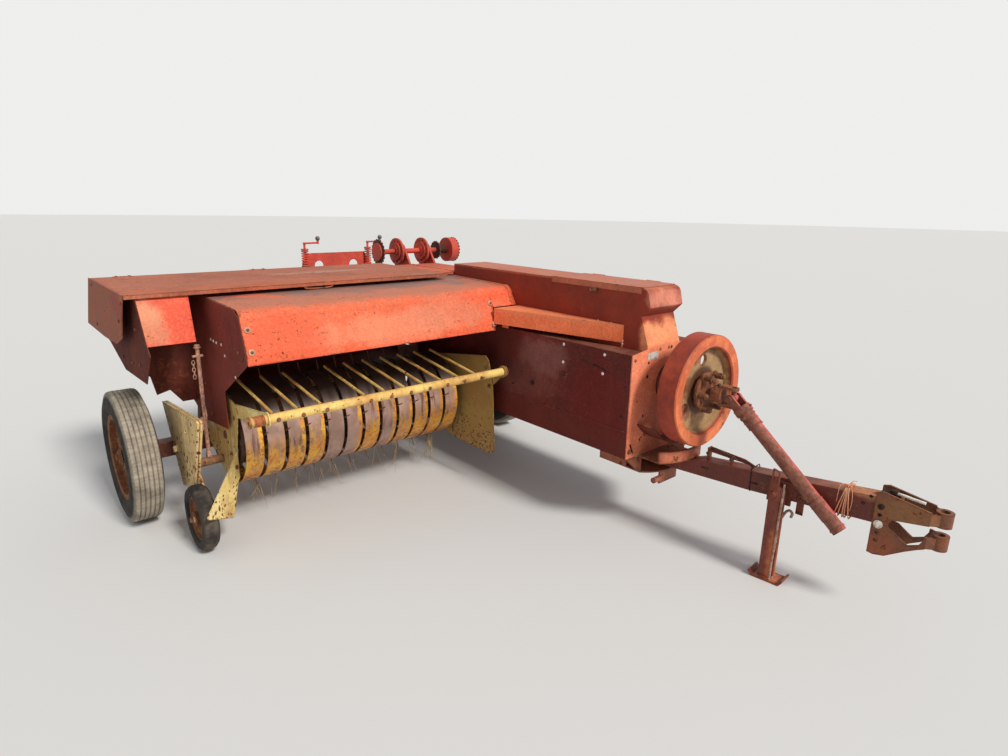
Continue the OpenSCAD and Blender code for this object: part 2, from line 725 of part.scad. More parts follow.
// Curved sheet round the back half of the flywheel
module flywheel_guard() at_frame() color("maroon") {
  gap = 12;
  translate([0, 0, fly_z]) rotate([90, 0, 0]) translate([0, 0, case_front + 6])
    linear_extrude(110) intersection() {
      difference() {
        circle(r = fly_r + gap + 3);
        circle(r = fly_r + gap);
      }
      polygon([[0, 0], [-600, -480], [-600, -600], [100, -600]]);
    }
}

// Heavy cast flywheel with a deep rim, web and hub
module flywheel() at_frame() color("tomato") {
  rim_in = 204;
  web_t = 16;
  hub_r = 62;
  hole_r = 26;
  translate([0, fly_y0, fly_z]) rotate([-90, 0, 0]) difference() {
    rotate_extrude() polygon([
      [20 + run, fly_web - 20], [hub_r, fly_web - 20], [hub_r, fly_web], [rim_in - 12, fly_web],
      [rim_in, 6], [rim_in + 6, 0],
      [fly_r - 5, 0], [fly_r, 5], [fly_r, fly_w - 5], [fly_r - 5, fly_w], [rim_in, fly_w],
      [rim_in - 12, fly_web + web_t], [hub_r, fly_web + web_t], [hub_r, fly_hub_back],
      [20 + run, fly_hub_back]
    ]);
    for (a = [30 : 120 : 270]) rotate([0, 0, a]) translate([140, 0, 0]) cylinder(h = fly_w, r = hole_r);
  }
}

// Slip clutch on the flywheel: star plate, friction disc and spring bolts
module slip_clutch() at_frame() color("sienna") {
  bolts = 6;
  y1 = fly_y0 + 22;
  translate([0, y1, fly_z]) rotate([90, 0, 0]) {
    difference() {
      union() {
        cylinder(h = 14, r = 88);
        translate([0, 0, 14]) linear_extrude(10) union() {
          circle(r = 62);
          for (a = [0 : 360 / bolts : 359]) rotate(a) {
            translate([0, -16]) square([88, 32]);
            translate([88, 0]) circle(r = 16);
          }
        }
      }
      translate([0, 0, -1]) cylinder(h = 40, r = 20 + run);
    }
    for (a = [0 : 360 / bolts : 359]) rotate([0, 0, a]) translate([84, 0, 24]) {
      cylinder(h = 34, r = 10);
      cylinder(h = 42, r = 5);
    }
  }
}

// Input yoke on the end of the gearbox shaft, its ears above and below the cross
module input_yoke() at_frame() color("sienna") {
  ear = 13;
  ear_z = 34;
  back = cross_y + 62;
  translate([0, 0, fly_z]) {
    difference() {
      bar_y(back - 16, back + 32, 40);
      bar_y(back, back + 33, 20 + seat);
    }
    for (side = [-1, 1]) translate([0, 0, side * (ear_z + ear / 2)]) difference() {
      union() {
        translate([0, cross_y, -ear / 2]) cylinder(h = ear, r = 21);
        block(-20, 20, cross_y, back, -ear / 2, ear / 2);
      }
      translate([0, cross_y, -ear]) cylinder(h = 2 * ear, r = 11 + run);
    }
  }
}

// Half shaft: cross, yoke and the telescoping tube that hangs beside the tongue
module drive_tube() at_frame() color("indianred") {
  ear = 12;
  ear_x = 32;
  translate([0, cross_y, fly_z]) {
    translate([0, 0, -46]) cylinder(h = 92, r = 11);
    bar_x(-44, 44, 11);
    sphere(r = 19);
    rotate([tube_drop, 0, 0]) {
      for (side = [-1, 1]) difference() {
        union() {
          bar_x(side * ear_x - ear / 2, side * ear_x + ear / 2, 20);
          block(side * ear_x - ear / 2, side * ear_x + ear / 2, -66, 0, -19, 19);
        }
        bar_x(side * ear_x - ear, side * ear_x + ear, 10.9);
      }
      difference() {
        union() {
          bar_y(-84, -54, 40);
          bar_y(-150, -84, tube_r + 4);
          bar_y(-tube_len, -84, tube_r);
          bar_y(-tube_len + 60, -tube_len + 150, tube_r + 2);
        }
        bar_y(-tube_len - 1, -100, tube_bore);
      }
    }
  }
}

// Ribbed implement tyre about X, its outer side towards -X
module implement_tyre() {
  groove = 7;
  half = tyre_w / 2;
  tread_half = half - 14;
  pitch = 2 * tread_half / tyre_ribs;
  cut = 7;
  tread = [for (i = [0 : tyre_ribs - 1]) let (x = -tread_half + i * pitch) each [
    [tyre_r - groove, x],
    [tyre_r - (i == 0 ? 3 : 0), x + cut / 2],
    [tyre_r - (i == tyre_ribs - 1 ? 3 : 0), x + pitch - cut / 2],
    [tyre_r - groove, x + pitch]
  ]];
  rotate([0, -90, 0]) rotate_extrude() polygon(concat(
    [[rim_r, -half + 20], [rim_r + 20, -half + 17], [(rim_r + tyre_r) / 2 - 6, -half],
     [(rim_r + tyre_r) / 2 + 22, -half + 2]],
    tread,
    [[(rim_r + tyre_r) / 2 + 22, half - 2], [(rim_r + tyre_r) / 2 - 6, half], [rim_r + 20, half - 17],
     [rim_r, half - 20]]
  ));
}

// Pressed steel rim about X with its disc set towards -X
module implement_rim() {
  half = tyre_w / 2;
  seat_r = rim_r - seat;
  disc = -half + 46;
  rotate([0, -90, 0]) difference() {
    rotate_extrude() polygon([
      [rim_r + 18, half - 13], [rim_r + 18, half - 17 + seat], [seat_r, half - 20 + seat], [seat_r, 28],
      [seat_r - 26, 18],
      [seat_r - 26, -18], [seat_r, -28], [seat_r, -half + 20 - seat], [rim_r + 18, -half + 17 - seat],
      [rim_r + 18, -half + 13], [seat_r - 4, -half + 16], [seat_r - 5, -30], [seat_r - 31, -20],
      [seat_r - 31, 10], [120, 26], [84, 16], [84, 8], [58, 8], [58, -half + 6], [20 + run, -half + 6],
      [20 + run, half - 34], [46, half - 34], [46, 16], [60, 24], [118, 34], [seat_r - 30, 20],
      [seat_r - 5, 30],
      [seat_r - 4, half - 16]
    ]);
    for (a = [0 : 60 : 300]) rotate([0, 0, a]) translate([72, 0, 0]) cylinder(h = 40, r = 7);
  }
}

module tyre_right() at_frame() color("dimgray") translate([-right_reach + tyre_w / 2, 0, axle_z])
    implement_tyre();
module rim_right() at_frame() color("saddlebrown") translate([-right_reach + tyre_w / 2, 0, axle_z])
    implement_rim();
module tyre_left() at_frame() color("dimgray") translate([left_reach - tyre_w / 2, 0, axle_z])
    mirror([1, 0, 0]) implement_tyre();
module rim_left() at_frame() color("saddlebrown") translate([left_reach - tyre_w / 2, 0, axle_z])
    mirror([1, 0, 0]) implement_rim();

// Solid rubber gauge tyre and its dished rim
module gauge_tyre() at_frame() color("dimgray") {
  half = gauge_w / 2;
  translate([gauge_x - half, gauge_y, gauge_z]) rotate([0, -90, 0]) rotate_extrude() polygon([
    [102, -half + 12], [112, -half + 2], [138, -half], [150, -half + 12], [gauge_r, -half + 26],
    [gauge_r, half - 26], [150, half - 12], [138, half], [112, half - 2], [102, half - 12]
  ]);
}
module gauge_rim() at_frame() color("saddlebrown") {
  half = gauge_w / 2;
  translate([gauge_x - half, gauge_y, gauge_z]) rotate([0, -90, 0]) rotate_extrude() polygon([
    [15 + run, -half], [34, -half], [34, -6], [92, 4], [98, -half + 12], [102 - seat, -half + 12],
    [102 - seat, half - 12], [98, half - 12], [92, 12], [34, 6], [34, half - 4], [15 + run, half - 4]
  ]);
}

// Where a line from p touches a circle of radius r round c, on the given side
function touch(c, r, p, side) =
  let (d = p - c, a = atan2(d[1], d[0]), b = acos(r / norm(d)))
  c + r * [cos(a + side * b), sin(a + side * b)];

// Side outline of a stripper band: round at the front and drawn back to the rear bar
module band_outline(inset) {
  c = [-reel_y, reel_z];
  r = band_r - inset;
  top = [-70, 596 - inset];
  low = [-70, 400 + inset];
  union() {
    translate(c) circle(r = r, $fn = 96);
    polygon([c, touch(c, r, top, 1), top, low, touch(c, r, low, -1)]);
  }
}

// Row of stripper bands on their rear bar
module stripper_bands() at_frame() color("peru") {
  for (i = [0 : band_count - 1]) plate_x(band_x0 + i * band_pitch, band_w) difference() {
    band_outline(0);
    band_outline(band_t);
    translate([-70, 300]) square([200, 400]);
  }
  block(band_x0, band_x1, -88, -62, 396, 604);
}

// Right pickup shield with a wing on its front edge that turns out to the gauge wheel
module pickup_shield_right() at_frame() color("khaki") {
  x = band_x0 - 6 - 6;
  plate_x(x, 4) difference() {
    polygon([
      [-606, 640], [-575, 532], [-542, 435], [-524, 290], [-330, 262], [-62, 400], [-40, 560], [-40, 640],
      [-330, 690], [-560, 680]
    ]);
    translate([-reel_y, reel_z]) circle(r = 20 + run);
    translate([lift_y, lift_z]) circle(r = lift_r + run);
  }
  wing_out = 44;
  translate([x + 4, -544, 0]) rotate([0, 0, wing_out]) rotate([90, 0, 180]) linear_extrude(4) polygon([
    [0, 300], [0, 435], [286, 252], [300, 240], [290, 228], [100, 140], [84, 145], [18, 290]
  ]);
  guard_bracket(x + 4, 7, -600);
  translate([0, lift_y, lift_z]) difference() {
    bar_x(x + 4, band_x0, 26);
    bar_x(x, band_x0 + 1, lift_r + run);
  }
}

// Flat bracket from a shield out to the windguard pipe
module guard_bracket(x, t, root_y) plate_x(x, t) difference() {
  union() {
    translate([guard_y, guard_z]) circle(r = guard_r + 11);
    polygon([[guard_y, guard_z + 26], [guard_y, guard_z - 26], [root_y, 610], [root_y + 40, 640],
        [root_y + 40, 668]]);
  }
  translate([guard_y, guard_z]) circle(r = guard_r + run);
}

// Left pickup shield beside the bale case
module pickup_shield_left() at_frame() color("khaki") {
  x = shield_x;
  plate_x(x, 4) difference() {
    polygon([
      [-451, 711], [-820, 764], [-847, 739], [-882, 620], [-903, 247], [-890, 214], [-856, 200], [-505, 204],
      [-420, 240], [-62, 400], [-40, 560], [-40, 640]
    ]);
    translate([-reel_y, reel_z]) circle(r = 20 + run);
    translate([lift_y, lift_z]) circle(r = lift_r + run);
  }
  guard_bracket(x + 4, 8, -880);
  translate([0, lift_y, lift_z]) difference() {
    bar_x(band_x1, x, 26);
    bar_x(band_x1 - 1, x + 1, lift_r + run);
  }
}

// Gauge wheel bracket of two flanged plates, its cross tube, arm and spindle
module gauge_arm() at_frame() color("khaki") {
  x0 = gauge_x - 20;
  face = [[20, 572], [-560, 626], [-582, 614], [-412, 260], [-400, 254], [-212, 191], [-200, 200]];
  for (x = [x0, x0 + 14]) plate_x(x, 12) polygon(face);
  plate_x(x0 + 12, 2) translate([-240, 400]) circle(r = 60);
  plate_x(x0 + 26, 12) union() {
    translate([gauge_y, gauge_z]) circle(r = 30);
    polygon([[gauge_y - 20, gauge_z + 22], [gauge_y + 20, gauge_z - 22], [-300, 290], [-330, 370]]);
    translate([tube_y, tube_z]) circle(r = 2 * tube_bar_r);
  }
  translate([0, gauge_y, gauge_z]) bar_x(gauge_x - gauge_w - 6, x0 + 26, 15);
  translate([0, tube_y, tube_z]) bar_x(x0 + 38, band_x0 - 12, tube_bar_r);
}

// Lift rod from the pickup up past the hood side
module lift_rod() at_frame() color("peru") {
  x = lift_x;
  y = tube_y;
  foot = tube_z + tube_bar_r + seat;
  rod([x, y, foot + 10], [x, y - 6, 900], 9);
  translate([0, y - 5, 860]) bar_x(x - 26, x + 22, 6);
  block(x - 10, x + 10, y - 12, y + 12, foot, foot + 22);
}

// Tined reel: shaft, end spiders, tine bars and the spring tines in the slots
module tine_reel() at_frame() color("dimgray") {
  bar_r = 150;
  tube = 14;
  translate([0, -reel_y, reel_z]) {
    bar_x(band_x0 - 16, shield_x + 12, 20);
    for (x = [band_x0 + 10, (band_x0 + band_x1) / 2, band_x1 - 22]) plate_x(x, 12) difference() {
      circle(r = bar_r + tube - 2);
      for (a = [45 : 90 : 315]) rotate(a) translate([82, 0]) circle(r = 34);
    }
    for (b = [0 : tine_bars - 1]) rotate([b * 360 / tine_bars, 0, 0]) {
      translate([0, 0, -bar_r]) bar_x(band_x0 + 4, band_x1 - 4, tube);
      for (i = [1 : band_count - 1])
        translate([band_x0 + i * band_pitch - band_slot / 2, 0, 0])
          rod([0, 0, -bar_r], [0, -70, -sqrt(tine_r * tine_r - 70 * 70) + 4], tine_d / 2);
    }
  }
}

// Windguard: cross pipe with light rods lying back over the pickup
module windguard() at_frame() color("gold") {
  x0 = band_x0 - 82;
  x1 = shield_x + 26;
  first = band_x0 + 35;
  last = band_x1 - 94;
  pitch = (last - first) / (guard_rods - 1);
  missing = 3;
  translate([0, guard_y, guard_z]) {
    bar_x(x0, x1, guard_r);
    for (i = [0 : guard_rods - 1]) if (i != missing)
      translate([first + i * pitch, 0, 0]) rotate([guard_tilt, 0, 0]) bar_y(0, guard_len, 6.5);
  }
}

// Pieces on the tongue are drawn straight ahead and turned about the pivot
module on_tongue() translate([0, tongue_y, 0]) rotate([0, 0, tongue_angle]) children();

// Tongue: welded box beam, deeper towards the hitch, with the swing latch on top
module tongue_beam() at_frame() color("firebrick") on_tongue() {
  half = tongue_w / 2;
  tip_y = -hitch_reach + hitch_fork;
  wall = 6;
  low = [[0, tongue_z0], [-600, tongue_z0 + 16], [tip_y, tongue_z0 + 50]];
  top = [[tip_y, hitch_top + 4], [-706, tongue_z1 + 41], [-360, tongue_z1 + 11], [-330, tongue_z1],
      [0, tongue_z1]];
  latch_z = tongue_z1 + 75;
  difference() {
    union() {
      plate_x(-half, tongue_w) polygon(concat(low, top));
      translate([0, 0, tongue_z0]) cylinder(h = tongue_h, r = half);
    }
    plate_x(-half + wall, tongue_w - 2 * wall) polygon([
      [-60, tongue_z0 + wall + 2], [-600, tongue_z0 + 16 + wall], [tip_y - 1, tongue_z0 + 50 + wall],
      [tip_y - 1, hitch_top + 4 - wall], [-706, tongue_z1 + 41 - wall], [-360, tongue_z1 + 11 - wall],
      [-330, tongue_z1 - wall], [-60, tongue_z1 - wall]
    ]);
    translate([0, 0, tongue_z0 - 1]) cylinder(h = tongue_h + 2, r = tongue_pin_r + run);
  }
  block(-16, 16, -397, -389, tongue_z1 + 10, latch_z);
  block(-16, 8, -509, -503, tongue_z1 + 20, latch_z - 14);
  plate_x(8, 6) polygon([
    [-389, latch_z - 26], [-389, latch_z], [-560, latch_z - 16], [-604, latch_z - 32],
    [-604, tongue_z1 + 28],
    [-596, tongue_z1 + 28], [-580, latch_z - 36]
  ]);
}

// Hitch clevis: two side plates cut to an upper and a lower arm, which close on the pin eyes
module hitch_clevis() at_frame() color("saddlebrown") on_tongue() {
  half = tongue_w / 2 + seat;
  t = 10;
  pin_y = -hitch_reach;
  rear = pin_y + 220;
  tip = pin_y + 34;
  boss_r = 30;
  boss_h = 58;
  slot_z = 400;
  mid = (hitch_low + hitch_top) / 2;
  difference() {
    union() {
      for (side = [0, 1]) mirror([side, 0, 0]) {
        plate_x(half, t) polygon(concat(
          [[rear, 518], [rear - 23, 525], [tip, hitch_top - 2], [tip, hitch_top - boss_h + 2]],
          arc(pin_y + 144, slot_z, 23, 90, -90, 8),
          [[pin_y + 131, 366], [pin_y + 91, 338], [pin_y + 56, 353], [tip, hitch_low + boss_h - 8]],
          [[tip, hitch_low + 2], [pin_y + 54, 336], [pin_y + 95, 311], [pin_y + 159, 266], [rear - 22, 258],
          [rear, 262]]
        ));
        for (z = [hitch_low, hitch_top - boss_h]) plate_z(z + 4, boss_h - 12) polygon([
          [half, tip + 8], [half + t, tip + 8], [half + t, tip], [boss_r - 2, pin_y + 4],
          [boss_r - 14, pin_y + 4],
          [half, tip - 1]
        ]);
      }
      for (z = [hitch_low, hitch_top - boss_h]) translate([0, pin_y, z]) cylinder(h = boss_h, r = boss_r);
      block(-half, half, pin_y + 140, pin_y + 146, mid + 24, hitch_top + 8);
    }
    for (z = [321, 355, 389, 429, 463]) translate([0, rear - 23, z]) bar_x(-80, 80, 7);
    translate([0, pin_y, hitch_low - 1]) cylinder(h = hitch_top - hitch_low + 2, r = hitch_bore);
  }
}

// Bracket on the tongue side that holds the stand's pivot pin
module jack_bracket() at_frame() color("saddlebrown") on_tongue() {
  half = tongue_w / 2;
  difference() {
    block(-half - 12, -half, -jack_reach - 50, -jack_reach + 50, tongue_z0 + 6, tongue_z1 + 30);
    translate([0, -jack_reach, jack_pivot_z]) bar_x(-half - 13, -half + 1, 4);
  }
  translate([0, -jack_reach, jack_pivot_z]) bar_x(-half - 12 - 66, -half - 11, 12);
}

// Swing-up stand with its skid foot and latch rod
module jack_leg() at_frame() color("orangered") on_tongue() {
  half = tongue_w / 2;
  x1 = -half - 12 - 2;
  w = 52;
  toe = 12;
  foot_t = 8;
  difference() {
    union() {
      block(x1 - w, x1, -jack_reach - 24, -jack_reach + 24, foot_t, jack_pivot_z);
      translate([0, -jack_reach, jack_pivot_z]) bar_x(x1 - w, x1, 24);
    }
    block(x1 - w + 6, x1 - 6, -jack_reach - 30, -jack_reach + 18, foot_t + 60, jack_pivot_z - 60);
    translate([0, -jack_reach, jack_pivot_z]) bar_x(x1 - w - 1, x1 + 1, 12 + run);
  }
  plate_x(x1 - w - 18, w + 36) polygon([
    [-jack_reach - 76 - toe, 22], [-jack_reach - 60 - toe, 0], [-jack_reach + 60 - toe, 0],
    [-jack_reach + 76 - toe, 22],
    [-jack_reach + 68 - toe, 26], [-jack_reach + 56 - toe, foot_t], [-jack_reach - 56 - toe, foot_t],
    [-jack_reach - 68 - toe, 26]
  ]);
  rod([x1 - w / 2, -jack_reach - 32, foot_t - 2], [x1 - w / 2, -jack_reach - 32, jack_pivot_z + 20], 6);
}

case_front();
front_plate();
plunger();
gearbox();
bale_chamber();
tension_rails();
density_springs();
knotter_frame();
knotter_shaft();
needle_yoke();
meter_wheel();
drawbar_frame();
main_axle();
feeder_housing();
feeder_rail();
front_hood();
hood_side();
end_housing();
corner_box();
side_ledge();
twine_box();
twine_lid();
rear_cover();
flywheel_guard();
flywheel();
slip_clutch();
input_yoke();
drive_tube();
tyre_right();
rim_right();
tyre_left();
rim_left();
gauge_tyre();
gauge_rim();
stripper_bands();
pickup_shield_right();
pickup_shield_left();
gauge_arm();
lift_rod();
tine_reel();
windguard();
tongue_beam();
hitch_clevis();
jack_bracket();
jack_leg();
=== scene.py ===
import math
import random

import bmesh
import bpy
from mathutils import Matrix, Vector


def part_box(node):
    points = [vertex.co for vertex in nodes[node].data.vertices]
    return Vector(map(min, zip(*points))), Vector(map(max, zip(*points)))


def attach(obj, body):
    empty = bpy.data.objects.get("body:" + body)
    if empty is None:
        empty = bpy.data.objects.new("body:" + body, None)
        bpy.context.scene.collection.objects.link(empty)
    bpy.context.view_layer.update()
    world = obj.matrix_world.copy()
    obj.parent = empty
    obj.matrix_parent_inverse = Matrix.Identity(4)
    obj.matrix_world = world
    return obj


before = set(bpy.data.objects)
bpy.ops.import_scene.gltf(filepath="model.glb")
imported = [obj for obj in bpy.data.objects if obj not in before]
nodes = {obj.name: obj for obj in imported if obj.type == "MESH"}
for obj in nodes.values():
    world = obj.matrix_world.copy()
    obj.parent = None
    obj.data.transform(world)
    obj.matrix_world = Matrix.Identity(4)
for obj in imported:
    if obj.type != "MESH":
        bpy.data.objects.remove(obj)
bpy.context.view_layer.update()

# Camera. It stands at the front right corner at eye height and looks across
# the pickup to the hitch. Places on the machine are given in metres from the
# middle of the bale case, the axle and the ground.
case_low, case_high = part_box("case_front")
rim_low, rim_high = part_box("rim_right")
case_mid = (case_low.x + case_high.x) / 2
axle_y = (rim_low.y + rim_high.y) / 2
axle_z = (rim_low.z + rim_high.z) / 2


def place(x, y, z):
    """A point of the machine from the case's middle, the axle and the ground."""
    return Vector((case_mid + x, axle_y + y, z))


heading, dip, lean = math.radians(-41.22), math.radians(15.33), math.radians(0.97)
eye, focal_length = place(-2.5308, -3.4419, 1.5686), 22.59
ahead = Vector((-math.sin(heading) * math.cos(dip), math.cos(heading) * math.cos(dip), -math.sin(dip)))
level = ahead.cross(Vector((0, 0, 1))).normalized()
upright = level.cross(ahead)
image_right = math.cos(lean) * level + math.sin(lean) * upright
image_up = math.cos(lean) * upright - math.sin(lean) * level
camera = bpy.data.objects.new("camera", bpy.data.cameras.new("camera"))
camera.data.lens = focal_length
camera.data.clip_end = 200
camera.matrix_world = Matrix((image_right, image_up, -ahead)).transposed().to_4x4()
camera.matrix_world.translation = eye
bpy.context.scene.collection.objects.link(camera)
bpy.context.scene.camera = camera

# Studio. A plain pale floor under an even pale surround, with one broad lamp
# high at the front so that the faces towards the hitch are the bright ones.
world = bpy.data.worlds.new("surround")
bpy.context.scene.world = world
world.use_nodes = True
sky = world.node_tree
sky.nodes.clear()


def sky_node(kind, *sources, **settings):
    """A node of the surround with its settings and its inputs linked in turn."""
    node = sky.nodes.new("ShaderNode" + kind)
    for key_name, value in settings.items():
        setattr(node, key_name, value)
    for count, source in enumerate(sources):
        sky.links.new(source, node.inputs[count])
    return node


fill, seen = sky_node("Background"), sky_node("Background")
for background, colour, strength in ((fill, (0.95, 0.97, 1.0, 1), 0.46), (seen, (0.86, 0.86, 0.85, 1), 1.0)):
    background.inputs["Color"].default_value = colour
    background.inputs["Strength"].default_value = strength
ray = sky_node("LightPath").outputs
direct = sky_node("Math", ray["Is Camera Ray"], ray["Is Glossy Ray"], operation="MAXIMUM")
through = sky_node("Math", direct.outputs[0], ray["Is Transmission Ray"], operation="MAXIMUM")
both = sky_node("MixShader", through.outputs[0], fill.outputs[0], seen.outputs[0])
sky_node("OutputWorld", both.outputs[0])

key = bpy.data.objects.new("key_lamp", bpy.data.lights.new("key_lamp", "SUN"))
key.data.energy = 2.75
key.data.angle = math.radians(12)
key.data.color = (1.0, 0.965, 0.91)
key.rotation_euler = Vector((0.06, -0.74, 0.67)).to_track_quat("Z", "Y").to_euler()
bpy.context.scene.collection.objects.link(key)
bpy.context.scene.view_settings.view_transform = "Standard"

floor_mesh = bmesh.new()
bmesh.ops.create_circle(floor_mesh, cap_ends=True, segments=96, radius=70)
floor_data = bpy.data.meshes.new("floor")
floor_mesh.to_mesh(floor_data)
floor_mesh.free()
floor = bpy.data.objects.new("floor", floor_data)
floor.location.z = -0.001
floor_paint = bpy.data.materials.new("floor_paint")
floor_paint.use_nodes = True
floor_shader = floor_paint.node_tree.nodes["Principled BSDF"]
floor_shader.inputs["Base Color"].default_value = (0.7, 0.7, 0.69, 1)
floor_shader.inputs["Roughness"].default_value = 0.95
floor_data.materials.append(floor_paint)
bpy.context.scene.collection.objects.link(floor)

# Bale case. Folded sheet sides, red once, now chalky and dark with rust runs,
# a pale rubbed patch by the hood and bright round bolt heads near the front.
RUST_DARK, RUST_MID, RUST_LIGHT = (60, 34, 26), (122, 68, 44), (176, 106, 64)
RIGHT, FRONT, UP = (-1, 0, 0), (0, -1, 0), (0, 0, 1)


def pigment(red, green, blue):
    """A shader colour from values of 0 to 255."""
    return tuple(((part / 255 + 0.055) / 1.055) ** 2.4 for part in (red, green, blue)) + (1.0,)


class Finish:
    """One procedural finish on Object coordinates, laid coat on coat."""

    def __init__(self, name, seed=0.0):
        self.material = bpy.data.materials.new(name)
        self.material.use_nodes = True
        self.tree = self.material.node_tree
        self.shader = self.tree.nodes["Principled BSDF"]
        self.seed = (seed * 7.3, seed * 3.1, seed * 5.7)
        self.spot = self.add("TexCoord").outputs["Object"]
        self.coat = None

    def feed(self, socket, value):
        """An input linked to a socket or set to a value."""
        if isinstance(value, bpy.types.NodeSocket):
            self.tree.links.new(value, socket)
        else:
            socket.default_value = value

    def add(self, kind, inputs=(), **settings):
        """A shader node with its settings, and its inputs linked or set."""
        node = self.tree.nodes.new("ShaderNode" + kind)
        for key_name, value in settings.items():
            setattr(node, key_name, value)
        for key_name, value in dict(inputs).items():
            self.feed(node.inputs[key_name], value)
        return node

    def noise(self, scale, detail=5, rough=0.6, stretch=(1, 1, 1), warp=0.0):
        """Cloudy noise of about 0.3 to 0.7."""
        grid = self.add("Mapping", {"Vector": self.spot, "Location": self.seed, "Scale": stretch}).outputs[0]
        inputs = {"Vector": grid, "Scale": scale, "Detail": detail, "Roughness": rough, "Distortion": warp}
        return self.add("TexNoise", inputs).outputs["Fac"]

    def step(self, source, low, high, to_low=0.0, to_high=1.0):
        """A soft step from to_low to to_high as the source goes from low to high."""
        limits = {"Value": source, "From Min": low, "From Max": high, "To Min": to_low, "To Max": to_high}
        return self.add("MapRange", limits, interpolation_type="SMOOTHSTEP").outputs["Result"]

    def calc(self, way, *values):
        """One sum on up to three values."""
        return self.add("Math", enumerate(values), operation=way).outputs[0]

    def times(self, value, by, plus=None):
        """A value multiplied, and added to another if there is one."""
        if plus is None:
            return self.calc("MULTIPLY", value, by)
        return self.calc("MULTIPLY_ADD", value, by, plus)

    def vector(self, way, *values):
        """The results of one sum on places or directions."""
        return self.add("VectorMath", enumerate(values), operation=way).outputs

    def mix(self, under, over, amount, way="MIX"):
        """Two colours mixed by an amount."""
        ends = {0: amount}
        for key_name, value in ((6, under), (7, over)):
            ends[key_name] = pigment(*value) if isinstance(value, tuple) else value
        return self.add("Mix", ends, data_type="RGBA", blend_type=way).outputs[2]

    def blend(self, under, over, source, low, high):
        """Two colours that pass over as a source goes from low to high."""
        return self.mix(under, over, self.step(source, low, high))

    def lay(self, over, amount):
        """One more colour on the coat."""
        self.coat = self.mix(self.coat, over, amount)

    def shade(self, source, low, high, dark, light):
        """The coat shaded from dark to light as a source goes from low to high."""
        self.coat = self.mix(self.coat, self.step(source, low, high, dark, light), 1.0, "MULTIPLY")

    def rounded(self, radius):
        """The surface's direction with its edges rounded by a radius."""
        return self.add("Bevel", {"Radius": radius}, samples=4).outputs[0]

    def edges(self, radius=0.012):
        """1 along sharp edges and 0 on flat faces."""
        flat = self.add("NewGeometry").outputs["Normal"]
        same = self.vector("DOT_PRODUCT", self.rounded(radius), flat)["Value"]
        return self.step(self.calc("SUBTRACT", 1.0, same), 0.02, 0.22)

    def near(self, centre, size):
        """1 inside a ragged patch round a centre and 0 outside it."""
        patch = {"Vector": self.spot, "Location": centre, "Scale": size}
        far = self.vector("LENGTH", self.add("Mapping", patch, vector_type="TEXTURE").outputs[0])["Value"]
        wavy = self.times(self.noise(6.0, 6, 0.65), 2.1, -1.05)
        return self.step(self.calc("ADD", far, wavy), 1.3, 0.6)

    def axis(self, name):
        """One coordinate of the spot."""
        return self.add("SeparateXYZ", {0: self.spot}).outputs[name]

    def towards(self, name):
        """One part of the surface's own direction."""
        return self.add("SeparateXYZ", {0: self.add("NewGeometry").outputs["Normal"]}).outputs[name]

    def from_line(self, centre, along):
        """Distance from a line through a centre along X, Y or Z."""
        local = self.vector("SUBTRACT", self.spot, centre)[0]
        local = self.vector("MULTIPLY", local, [0 if name == along else 1 for name in "XYZ"])[0]
        return self.vector("LENGTH", local)["Value"]

    def rust(self):
        """Rust colour, from dark to light."""
        cloud = self.noise(26, 7, 0.7)
        return self.blend(self.blend(RUST_DARK, RUST_MID, cloud, 0.36, 0.54), RUST_LIGHT, cloud, 0.56, 0.72)

    def done(self, rough, height, strength=0.25, depth=0.002, metal=0.0, soften=0.003, gloss=0.25):
        """The coat on the shader, with its roughness and relief."""
        relief = {"Strength": strength, "Distance": depth, "Height": height, "Normal": self.rounded(soften)}
        looks = {"Base Color": self.coat, "Roughness": rough, "Metallic": metal, "Specular IOR Level": gloss,
                 "Normal": self.add("Bump", relief).outputs[0]}
        for key_name, value in looks.items():
            self.feed(self.shader.inputs[key_name], value)
        return self.material


